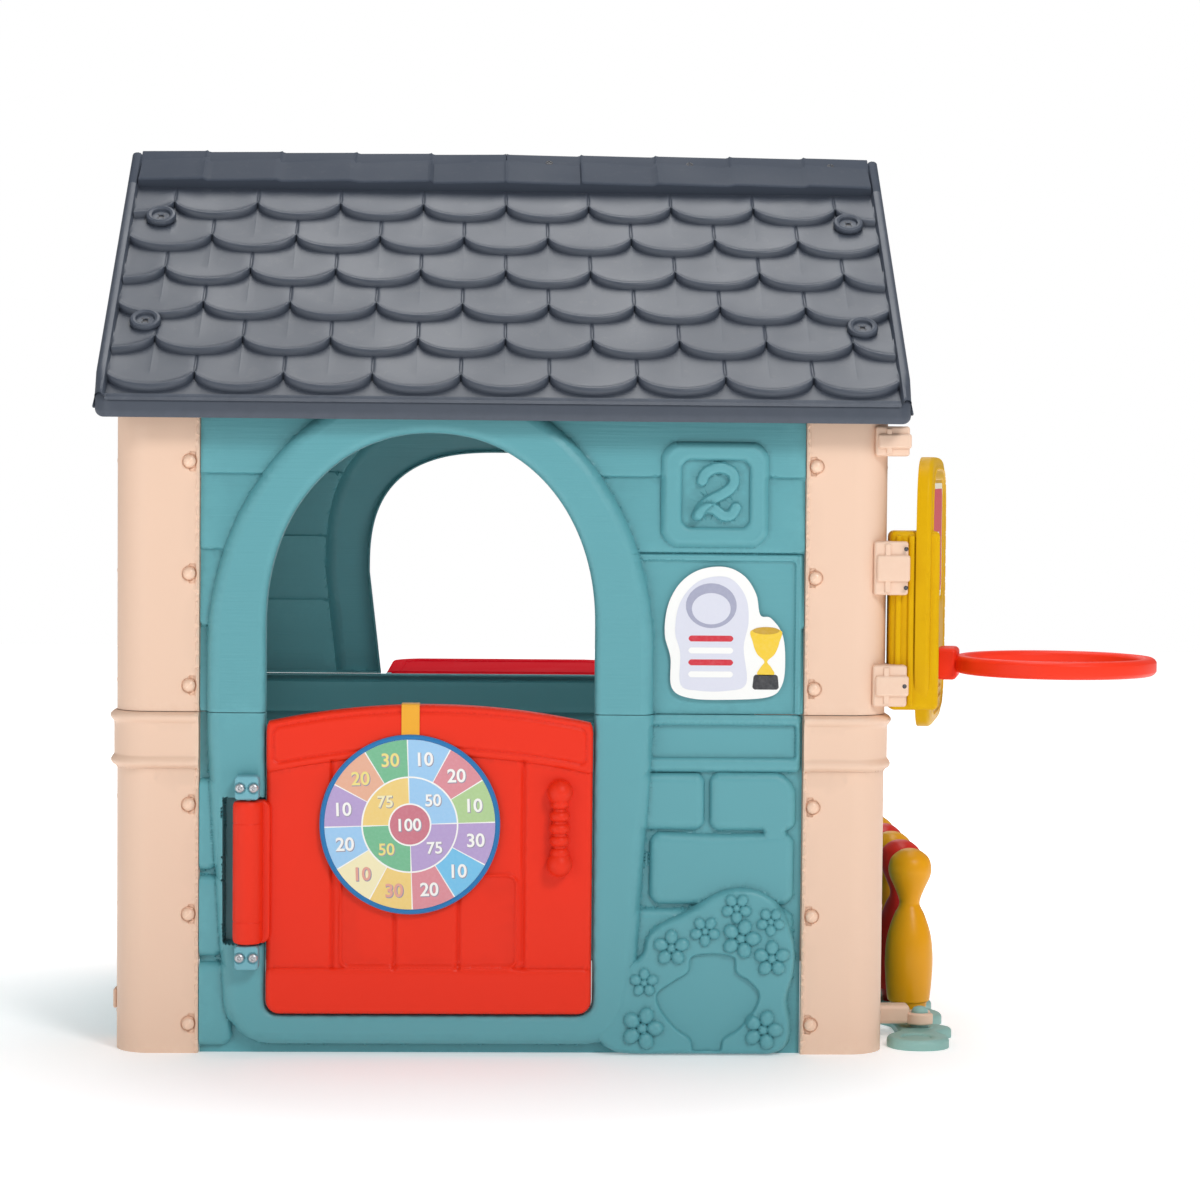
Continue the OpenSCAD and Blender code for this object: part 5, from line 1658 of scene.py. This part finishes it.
def build_counter():
    """The folding counter outside the back window, and its two brackets."""
    far = cad_box("counter")[1]
    half, y0, y1, top = 188, 426, far[1], far[2]
    outline = rounded(rectangle(-half, half, y0, y1), [6, 6, 46, 46], 10)
    grip = rounded(rectangle(-23, 23, y1 - 30, y1 - 17), 6)
    face = Relief(outline, holes=[grip], base=lambda p: np.full(len(p), top))
    face.roll(outline, 9, step=4)
    face.roll(grip, 4, step=3)
    face.raise_(rounded(rectangle(-half + 22, half - 22, y0 + 18, y1 - 44), 26), -2.5, edge=6, draft=3)
    under = top - 22
    v, f = face.build(under)
    shapes = [(v, f)]
    base = Relief(outline, holes=[grip], base=lambda p: np.zeros(len(p)))
    for x0, x1 in ((-160, -124), (-86, 86), (124, 160)):
        base.raise_(rectangle(x0, x1, y0 + 24, y1 - 52, 10), -6, edge=4, draft=2)
    v, f = base.build(0.0)
    v = v.copy()
    v[:, 2] = under - v[:, 2]
    shapes.append((v, [face_[::-1] for face_ in f]))
    knuckle = rounded([(-10, -10), (16, -10), (16, 10), (-10, 10)], [10, 2, 2, 10])
    shapes.append(moved(prism(knuckle, 0, 348, 1.5),
            Matrix(((0, 0, 1, -174), (1, 0, 0, 412), (0, 1, 0, top - 12), (0, 0, 0, 1)))))
    piece("counter_board", shapes, ["counter"] * len(shapes), body="counter", replaces=["counter"],
          slot="counter_red")
    arms = []
    for x in (-110, 98):
        side = curve_through([(410, 232), (378, 300), (378, 400), (380, 432), (440, 434), (540, 434),
                (562, 428),
                (556, 414), (508, 384), (462, 330), (438, 270), (430, 238), (418, 229)], True, 6)
        side[:, 0] = np.maximum(side[:, 0], FRONT + STONE_PROUD - 2.5)
        arms.append(moved(prism(side, 0, 12, 2.5),
                Matrix(((0, 0, 1, x), (1, 0, 0, 0), (0, 1, 0, 0), (0, 0, 0, 1)))))
    piece("counter_arms", arms, ["counter"] * 2, replaces=["counter_brackets"], slot="counter_red")


# ---- backboard and hoop --------------------------------------------------------------------------

def shield(grow=0.0):
    """Outline of the backboard, drawn in by a negative growth."""
    z0, z1 = BOARD_Z
    t = np.linspace(0, 2 * math.pi, 96, endpoint=False)
    c, s = np.cos(t), np.sin(t)
    mid = (z0 + z1) / 2
    return np.stack([(BOARD_HALF + grow) * np.sign(c) * np.abs(c) ** 0.36,
            mid + ((z1 - z0) / 2 + grow) * np.sign(s) * np.abs(s) ** 0.42], axis=1)


def build_backboard():
    """Rounded board with two ribs and two generic printed panels, and its spine."""
    outline = shield()
    relief = Relief(outline, step=5)
    relief.roll(outline, 8, step=4)
    relief.bead(shield(-16), 2.2, 4)
    relief.raise_(rectangle(-118, 118, 604, 776, 18), -2.5, edge=4, draft=2)
    for z in (470, 484):
        relief.bead([(-70, z), (70, z)], 2.0, 3.5, closed=False)
    shapes = [bent(relief.build(-20.0), on_board)]
    finishes = ["backboard"]
    for half, z0, z1, radius, out, ink in ((112, 610, 770, 14, -2.2, "ink_cream"),
            (104, 618, 762, 10, -2.05, "ink_red"),
            (48, 628, 702, 4, -1.9, "ink_cream"), (41, 635, 695, 3, -1.75, "ink_red")):
        shapes.append(bent(laid_panel(rectangle(-half, half, z0, z1, radius), out), on_board))
        finishes.append(ink)
    back = Relief(shield(-1.0), step=6, base=lambda p: np.zeros(len(p)))
    back.raise_(shield(-14), -9, edge=6, draft=2)
    v, f = back.build(0.0)
    v = v.copy()
    v[:, 2] = -20.0 - v[:, 2]
    shapes.append((on_board(v), [face[::-1] for face in f]))
    finishes.append("backboard")
    shapes.append(block((520.5, -366, 464), (588, -323, 706), 8))
    shapes += [block((x, -371.5, 470), (x + 8, -350, 700), 3) for x in (527, 544)]
    finishes += ["backboard"] * 3
    return piece("basket_backboard", shapes, finishes, replaces=["backboard"], slot="toy_yellow")


def laid_panel(loop, out):
    """A flat printed panel within a loop, laid out as a fine mesh."""
    relief = Relief(loop, step=6, fill=20)
    v, f = relief.build(0.0)
    faces = [face for face in f if len(face) == 3]
    v = v[:max(max(face) for face in faces) + 1]
    return np.column_stack([v[:, :2], np.full(len(v), out)]), faces


def build_hoop():
    """The flat ring and the block that carries it."""
    c, s = math.cos(BOARD_TURN), math.sin(BOARD_TURN)
    reach = BOARD_T + 24 + HOOP_R
    middle = np.array([BOARD_AT[0] + c * reach, BOARD_AT[1] + s * reach])
    width, height, r = 20, 24, 6
    section = rounded(rectangle(-width / 2, width / 2, -height / 2, height / 2), r, 5)
    t = np.linspace(0, 2 * math.pi, 128, endpoint=False)
    path = np.stack([middle[0] + (HOOP_R - width / 2) * np.cos(t),
            middle[1] + (HOOP_R - width / 2) * np.sin(t),
            np.full(128, HOOP_Z + height / 2)], axis=1)
    shapes = [sweep(path, section, closed=True)]
    foot = block((0, -34, HOOP_Z - 10), (30, 34, HOOP_Z + height + 10), 7)
    turn = Matrix.Translation((BOARD_AT[0] + c * BOARD_T, BOARD_AT[1] + s * BOARD_T,
            0)) @ Matrix.Rotation(BOARD_TURN, 4, "Z")
    shapes.append(moved(foot, turn))
    shapes.append(moved(block((10, -24, HOOP_Z + 1), (40, 24, HOOP_Z + height - 1), 6), turn))
    return piece("basket_ring", shapes, ["hoop"] * len(shapes), replaces=["hoop"], slot="hoop_orange")


def build_clips():
    """Three cream straps that hold the backboard's spine to the column."""
    for name in ("top_clip", "middle_clip", "lower_clip"):
        lo, hi = cad_box(name)
        mid = (lo[2] + hi[2]) / 2
        half = (hi[2] - lo[2]) / 2
        shapes = [block((lo[0], lo[1] + 5, lo[2]), (hi[0] - 2, hi[1] - 3, hi[2]), 4),
                block((lo[0] + 3, lo[1], mid - 0.5 * half), (hi[0], hi[1], mid + 0.5 * half), 4),
                block((lo[0] + 14, lo[1] + 2, lo[2] + 3), (lo[0] + 22, hi[1] - 8, hi[2] - 3), 2)]
        piece(f"{name}_band", shapes, ["column"] * 3, replaces=[name], slot="column_cream")


# ---- bowling set ---------------------------------------------------------------------------------

def union_loop(circles):
    """Outer edge of overlapping circles in plan, smoothed where they meet."""
    lo = np.min([(x - r, y - r) for x, y, r in circles], axis=0)
    hi = np.max([(x + r, y + r) for x, y, r in circles], axis=0)
    left, right = [], []
    for y in np.linspace(lo[1] + 0.4, hi[1] - 0.4, 220):
        spans = [(x - math.sqrt(r * r - (y - cy) ** 2), x + math.sqrt(r * r - (y - cy) ** 2))
                for x, cy, r in circles if abs(y - cy) < r]
        left.append((min(a for a, _ in spans), y))
        right.append((max(b for _, b in spans), y))
    return np.array(right + left[::-1])


def smooth_loop(loop, turns=6):
    """The loop with its corners averaged away."""
    for _ in range(turns):
        loop = (np.roll(loop, 1, axis=0) + 2 * loop + np.roll(loop, -1, axis=0)) / 4
    return loop


def skittle_spots():
    """Where each pin stands."""
    return [(SKITTLE_X, SKITTLE_Y0 + i * SKITTLE_PITCH) for i in range(6)]


def build_bowling_base():
    """Joined discs beside the wall with a seat for each pin, and the post that the arm clips round."""
    lo, hi = cad_box("bowling_base")
    strip = [(579, y, 26) for y in range(-320, -145, 4)] + [(SKITTLE_X, y, 34) for y in range(-145, 356, 4)]
    circles = [(572, -323, 43), (607, -256, 22)] + strip + [(x, y, 48) for x, y in skittle_spots()]
    edge = smooth_loop(union_loop(circles))
    edge[:, 0] = np.maximum(edge[:, 0], lo[0])
    relief = Relief(edge, step=5, base=lambda p: np.full(len(p), 14.0))
    relief.roll(edge, 6, step=4)
    for x, y in skittle_spots():
        relief.raise_(ellipse(x, y, 25, 25, count=40), -4.6, edge=2.5, draft=1, step=3)
        relief.bead(ellipse(x, y, 31, 31, count=40), 1.4, 3, step=4)
    relief.raise_(ellipse(570, -325, 22, 22, count=32), -3.0, edge=5, draft=2, step=3)
    relief.bead(ellipse(583, ARM_Y, 16, 16, count=28), 1.4, 3, step=3)
    post = lathe([(13.6, 13), (12, 15), (11.6, 18), (11.6, 34), (11, 38.6), (8.6, 42), (4, 43.7), (0, 44)],
            32)
    piece("bowling_tray", [relief.build(0.0), shifted(post, 583, ARM_Y, 0)], ["base"] * 2,
          replaces=["bowling_base"], slot="base_teal")
    lo, hi = cad_box("accessory_arm")
    t = np.radians(np.linspace(36, 324, 40))
    path = np.stack([583 + 16.4 * np.cos(t), ARM_Y + 16.4 * np.sin(t), np.full(40, 28.0)], axis=1)
    hook = sweep(path, rounded(rectangle(-4.2, 4.2, -8, 8), 2.6, 3))
    piece("bowling_arm", [block((lo[0], -272, 20), (568, -242, 46), 6), hook], ["column"] * 2,
          replaces=["accessory_arm"], slot="column_cream")
    lo, hi = cad_box("left_hook")
    piece("wall_hook", [block(lo, hi, 2.2)], ["column"], replaces=["left_hook"], slot="column_cream")


PIN_SHAPE = ((0, 21), (0.02, 23), (0.09, 27), (0.1, 30), (0.2, 32.5), (0.34, 34), (0.48, 31), (0.6, 22),
        (0.66, 15),
        (0.7, 15.5), (0.76, 21), (0.83, 28.5), (0.88, 30.5), (0.94, 27), (0.98, 17))


def build_skittles():
    """Six hollow pins, yellow and red in turn."""
    for i in range(6):
        node = f"skittle_{i + 1}"
        lo, hi = cad_box(node)
        middle, height = (lo + hi) / 2, hi[2] - lo[2]
        line = curve_through([(r, s * height) for s, r in PIN_SHAPE[3:]] + [(8, height - 0.9),
                (0.5, height)], steps=6)
        line[:, 0] = np.minimum(line[:, 0], 34)
        skirt = [(0, 7), (14, 6.5), (19, 3), (20.2, 0.6), (21.4, 0), (22.6, 0.8), (23.2, 5), (24.6, 12),
                (26.4, 20.2),
                (27.2, 21.4), (28.6, 22), (29.6, 23)]
        profile = skirt + [(r, z) for r, z in line if r > 0.6 or z > height / 2] + [(0, height)]
        piece(f"bowling_pin_{i + 1}", [shifted(lathe(profile, 56), middle[0], middle[1], lo[2])],
              ["pin_red" if i % 2 else "pin_yellow"], body=node, replaces=[node],
              slot="skittle_red" if i % 2 else "toy_yellow")


# ---- printed label on the wall -------------------------------------------------------------------

def build_label():
    """A generic die-cut sticker: rounded shapes and a cup beside striped blocks."""
    parts = []

    def add(loop, out, ink):
        parts.append((bent(laid_panel(loop, out), on_front), ink))
    base = 6.8
    edge = curve_through([(226, 494), (224, 534), (216, 566), (220, 604), (236, 634), (262, 652), (296, 656),
            (322, 644), (338, 620), (344, 592), (358, 588), (374, 566), (378, 530), (374, 498),
            (356, 482), (300, 478), (250, 480)], True, 6)
    add(edge, base, "ink_white")
    add(curve_through([(238, 498), (237, 540), (230, 568), (234, 602), (248, 626), (268, 640), (296, 643),
            (314, 632), (326, 610), (328, 580), (322, 548), (326, 500), (300, 490), (262, 490)], True, 6),
        base + 0.15, "ink_pale")
    add(ellipse(278, 604, 34, 30, count=40), base + 0.3, "ink_grey")
    add(ellipse(278, 600, 26, 21, count=40), base + 0.45, "ink_pale")
    for k, z in enumerate((508, 524, 540, 556)):
        add(rectangle(248, 308, z, z + 8, 3.5), base + 0.3, "ink_red" if k % 2 else "ink_white")
    add(rounded([(334, 492), (370, 492), (368, 512), (336, 512)], 3), base + 0.3, "ink_black")
    add(curve_through([(341, 512), (345, 522), (350, 530), (340, 540), (334, 556), (333, 572), (371, 572),
            (370, 556),
            (364, 540), (354, 530), (359, 522), (363, 512)], True, 5), base + 0.3, "ink_gold")
    add(ellipse(352, 571, 18, 5, count=28), base + 0.45, "ink_deep_gold")
    return piece("wall_sticker", [p for p, _ in parts], [ink for _, ink in parts], slot="sticker",
            weighted=False)


# ---- kept CAD parts ------------------------------------------------------------------------------

KEPT_FINISHES = {"hinge_pin": "steel", "counter_pin": "steel", "counter_bracket_screws": "dark_screw",
        "clip_screws": "dark_screw"}


def finish_kept_parts():
    """Gives the CAD parts that stay in view their finishes."""
    for name, finish in KEPT_FINISHES.items():
        obj = bpy.data.objects[name]
        if not obj.material_slots:
            obj.data.materials.append(None)
        for held in obj.material_slots:
            held.material = material(finish)


# ---- stage ---------------------------------------------------------------------------------------

def area_light(name, place, target, size, power, colour=(1, 1, 1)):
    """A square area light aimed at a target."""
    light = bpy.data.lights.new(name, "AREA")
    light.shape, light.size, light.energy, light.color = "DISK", size, power, colour
    obj = bpy.data.objects.new(name, light)
    obj.location = place
    obj.rotation_euler = (Vector(target) - Vector(place)).to_track_quat("-Z", "Y").to_euler()
    bpy.context.scene.collection.objects.link(obj)


def build_floor():
    """The studio floor, which is not part of the object."""
    mesh = bpy.data.meshes.new("floor")
    xs = np.linspace(-9, 9, 19)
    verts = [(x, y, 0) for y in xs for x in xs]
    faces = [[j * 19 + i, j * 19 + i + 1, (j + 1) * 19 + i + 1,
            (j + 1) * 19 + i] for j in range(18) for i in range(18)]
    mesh.from_pydata(verts, [], faces)
    mesh.materials.append(material("floor"))
    floor = bpy.data.objects.new("floor", mesh)
    bpy.context.scene.collection.objects.link(floor)


def build_world(level):
    """A near-white background that lights the scene softly."""
    world = bpy.data.worlds.new("Studio")
    world.use_nodes = True
    world.node_tree.nodes.clear()
    n = Nodes(world.node_tree)
    seen = n.add("ShaderNodeBackground", {"Color": (1, 1, 1, 1), "Strength": 1.0})
    light = n.add("ShaderNodeBackground", {"Color": (0.96, 0.98, 1.0, 1), "Strength": level})
    path = n.add("ShaderNodeLightPath")
    mixed = n.add("ShaderNodeMixShader", {0: path.outputs["Is Camera Ray"], 1: light.outputs[0],
            2: seen.outputs[0]})
    n.add("ShaderNodeOutputWorld", {0: mixed.outputs[0]})
    bpy.context.scene.world = world


def build_camera():
    """The camera, nearly square on to the front."""
    lens = bpy.data.cameras.new("Camera")
    lens.lens, lens.sensor_width, lens.sensor_fit = 88.635, 36, "HORIZONTAL"
    lens.clip_end = 60
    camera = bpy.data.objects.new("Camera", lens)
    yaw, tilt, roll = -0.03386, -0.04381, 0.008977
    forward = Matrix.Rotation(yaw, 3, "Z") @ Vector((0, math.cos(tilt), math.sin(tilt)))
    right = forward.cross(Vector((0, 0, 1))).normalized()
    up = right.cross(forward)
    right, up = (right * math.cos(roll) + up * math.sin(roll), up * math.cos(roll) - right * math.sin(roll))
    turn = Matrix((right, up, -forward)).transposed().to_4x4()
    camera.matrix_world = Matrix.Translation((-0.0045, -3.9475, 0.7834)) @ turn
    bpy.context.scene.collection.objects.link(camera)
    bpy.context.scene.camera = camera


# ---- add-on --------------------------------------------------------------------------------------

def length(name, description, default):
    """A length property in metres."""
    return bpy.props.FloatProperty(name=name, description=description, default=default, min=0.0, soft_max=0.1,
            precision=4, unit="LENGTH", subtype="DISTANCE")


def colour(name, description, default):
    """A colour property."""
    return bpy.props.FloatVectorProperty(name=name, description=description, default=default, size=3, min=0,
            max=1,
            subtype="COLOR")


class PlayhouseSizes(bpy.types.PropertyGroup):
    """Sizes of the moulded details."""
    scallop: length("Scallop depth", "How far the lower edge of a roof tile bows", 0.034)
    tile_bead: length("Tile bead", "Height of the bead along a tile's lower edge", 0.0024)
    door_round: length("Door edge", "Rounding of the door leaf's front edge", 0.007)
    piping: length("Piping", "Half the width of the piping round the dartboard", 0.0036)
    studio_light: bpy.props.FloatProperty(name="Studio light",
            description="Strength of the even light around",
            default=0.27, min=0, soft_max=2)


class PlayhouseColours(bpy.types.PropertyGroup):
    """Colours of the plastics and textiles."""
    wall: colour("Wall", "Walls and gables", (0.102, 0.335, 0.375))
    column: colour("Column", "Corner columns and clips", (0.79, 0.55, 0.41))
    bolt: colour("Bolt", "Cap bolts in the columns", (0.88, 0.60, 0.44))
    roof: colour("Roof", "Roof tiles", (0.052, 0.063, 0.085))
    roof_screw: colour("Roof screw", "Screws in the roof", (0.05, 0.05, 0.055))
    door: colour("Door", "Door leaf and pull", (0.80, 0.027, 0.006))
    counter: colour("Counter", "Counter and its brackets", (0.60, 0.001, 0.010))
    bracket: colour("Bracket", "Hinge blocks", (0.15, 0.40, 0.47))
    backboard: colour("Backboard", "Backboard of the ring", (0.66, 0.37, 0.001))
    pin_yellow: colour("Yellow pin", "Yellow bowling pins", (0.80, 0.35, 0.001))
    pin_red: colour("Red pin", "Red bowling pins", (0.72, 0.022, 0.010))
    hoop: colour("Ring", "Basketball ring", (0.86, 0.035, 0.010))
    base: colour("Tray", "Bowling tray and arm", (0.26, 0.47, 0.43))
    felt: colour("Felt", "Back of the dartboard", (0.75, 0.72, 0.68))
    piping: colour("Piping", "Edge of the dartboard", (0.006, 0.18, 0.46))
    webbing: colour("Webbing", "Strap of the dartboard", (0.90, 0.42, 0.018))


class PLAYHOUSE_OT_front_wall(bpy.types.Operator):
    """Make the front wall: stones, belt, flowers, boards, number plate and doorway"""
    bl_idname = "playhouse.front_wall"
    bl_label = "Front Wall"

    def execute(self, context):
        build_front_lower()
        build_front_upper()
        return {"FINISHED"}


class PLAYHOUSE_OT_other_walls(bpy.types.Operator):
    """Make the back and side walls with their windows, and the counter's ears"""
    bl_idname = "playhouse.other_walls"
    bl_label = "Back and Side Walls"

    def execute(self, context):
        build_back_and_sides()
        build_counter_lugs()
        return {"FINISHED"}


class PLAYHOUSE_OT_columns(bpy.types.Operator):
    """Make the corner columns"""
    bl_idname = "playhouse.columns"
    bl_label = "Columns"

    def execute(self, context):
        build_columns()
        return {"FINISHED"}


class PLAYHOUSE_OT_bolts(bpy.types.Operator):
    """Make the cap bolts of the columns"""
    bl_idname = "playhouse.bolts"
    bl_label = "Cap Bolts"

    def execute(self, context):
        build_bolts()
        return {"FINISHED"}


class PLAYHOUSE_OT_gables(bpy.types.Operator):
    """Make the boarded gables"""
    bl_idname = "playhouse.gables"
    bl_label = "Gables"

    def execute(self, context):
        build_gables()
        return {"FINISHED"}


class PLAYHOUSE_OT_roof(bpy.types.Operator):
    """Make both roof slopes and their screws"""
    bl_idname = "playhouse.roof"
    bl_label = "Roof"

    def execute(self, context):
        build_roof(context.scene.playhouse_sizes)
        build_roof_screws()
        return {"FINISHED"}


class PLAYHOUSE_OT_door(bpy.types.Operator):
    """Make the half door and its hinge"""
    bl_idname = "playhouse.door"
    bl_label = "Door and Hinge"

    def execute(self, context):
        build_door(context.scene.playhouse_sizes)
        build_hinge()
        return {"FINISHED"}


class PLAYHOUSE_OT_dartboard(bpy.types.Operator):
    """Make the soft dartboard and its strap"""
    bl_idname = "playhouse.dartboard"
    bl_label = "Dartboard"

    def execute(self, context):
        build_dartboard(context.scene.playhouse_sizes)
        return {"FINISHED"}


class PLAYHOUSE_OT_counter(bpy.types.Operator):
    """Make the folding counter and its brackets"""
    bl_idname = "playhouse.counter"
    bl_label = "Counter"

    def execute(self, context):
        build_counter()
        return {"FINISHED"}


class PLAYHOUSE_OT_basket(bpy.types.Operator):
    """Make the backboard, its ring and the clips that hold it"""
    bl_idname = "playhouse.basket"
    bl_label = "Backboard and Ring"

    def execute(self, context):
        build_backboard()
        build_hoop()
        build_clips()
        return {"FINISHED"}


class PLAYHOUSE_OT_bowling(bpy.types.Operator):
    """Make the bowling tray, its arm and hook, and the six pins"""
    bl_idname = "playhouse.bowling"
    bl_label = "Bowling Set"

    def execute(self, context):
        build_bowling_base()
        build_skittles()
        return {"FINISHED"}


class PLAYHOUSE_OT_sticker(bpy.types.Operator):
    """Make the generic sticker on the front wall"""
    bl_idname = "playhouse.sticker"
    bl_label = "Sticker"

    def execute(self, context):
        build_label()
        return {"FINISHED"}


class PLAYHOUSE_OT_kept_parts(bpy.types.Operator):
    """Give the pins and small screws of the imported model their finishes"""
    bl_idname = "playhouse.kept_parts"
    bl_label = "Pins and Small Screws"

    def execute(self, context):
        finish_kept_parts()
        return {"FINISHED"}


class PLAYHOUSE_OT_stage(bpy.types.Operator):
    """Make the floor, the soft studio light and the camera"""
    bl_idname = "playhouse.stage"
    bl_label = "Stage"

    def execute(self, context):
        build_floor()
        build_world(context.scene.playhouse_sizes.studio_light)
        area_light("Key", (2.4, -4.2, 4.3), (0, 0.2, 0.5), 1.7, 150)
        area_light("Fill", (-3.8, -4.4, 2.2), (0, 0.2, 0.5), 3.0, 52)
        area_light("Top", (0.2, 1.0, 4.6), (0, 0.3, 0.5), 3.2, 105)
        area_light("Back", (0.5, 4.5, 3.0), (0, 0.3, 0.5), 3.0, 28)
        area_light("Inside", (0.0, 0.3, 0.83), (0, 0.5, 0.3), 0.4, 0.9)
        build_camera()
        context.scene.view_settings.view_transform = "Standard"
        return {"FINISHED"}


MAKERS = (PLAYHOUSE_OT_front_wall, PLAYHOUSE_OT_other_walls, PLAYHOUSE_OT_columns, PLAYHOUSE_OT_bolts,
        PLAYHOUSE_OT_gables, PLAYHOUSE_OT_roof, PLAYHOUSE_OT_door, PLAYHOUSE_OT_dartboard, PLAYHOUSE_OT_counter,
        PLAYHOUSE_OT_basket, PLAYHOUSE_OT_bowling, PLAYHOUSE_OT_sticker, PLAYHOUSE_OT_kept_parts,
        PLAYHOUSE_OT_stage)


class PLAYHOUSE_PT_panel(bpy.types.Panel):
    """Sizes, colours and the makers of the playhouse"""
    bl_label = "Toy Playhouse"
    bl_idname = "PLAYHOUSE_PT_panel"
    bl_space_type = "VIEW_3D"
    bl_region_type = "UI"
    bl_category = "Playhouse"

    def draw(self, context):
        for group_name in ("playhouse_sizes", "playhouse_colours"):
            box = self.layout.box()
            held = getattr(context.scene, group_name)
            for key in held.__annotations__:
                box.prop(held, key)
        for maker in MAKERS:
            self.layout.operator(maker.bl_idname)


CLASSES = (PlayhouseSizes, PlayhouseColours, *MAKERS, PLAYHOUSE_PT_panel)


def register():
    """Adds the classes and their settings."""
    for cls in CLASSES:
        bpy.utils.register_class(cls)
    bpy.types.Scene.playhouse_sizes = bpy.props.PointerProperty(type=PlayhouseSizes)
    bpy.types.Scene.playhouse_colours = bpy.props.PointerProperty(type=PlayhouseColours)


def unregister():
    """Removes the classes and their settings."""
    del bpy.types.Scene.playhouse_colours
    del bpy.types.Scene.playhouse_sizes
    for cls in reversed(CLASSES):
        bpy.utils.unregister_class(cls)


def main():
    register()
    bpy.ops.playhouse.front_wall()
    bpy.ops.playhouse.other_walls()
    bpy.ops.playhouse.columns()
    bpy.ops.playhouse.bolts()
    bpy.ops.playhouse.gables()
    bpy.ops.playhouse.roof()
    bpy.ops.playhouse.door()
    bpy.ops.playhouse.dartboard()
    bpy.ops.playhouse.counter()
    bpy.ops.playhouse.basket()
    bpy.ops.playhouse.bowling()
    bpy.ops.playhouse.sticker()
    bpy.ops.playhouse.kept_parts()
    bpy.ops.playhouse.stage()


if __name__ == "__main__":
    main()
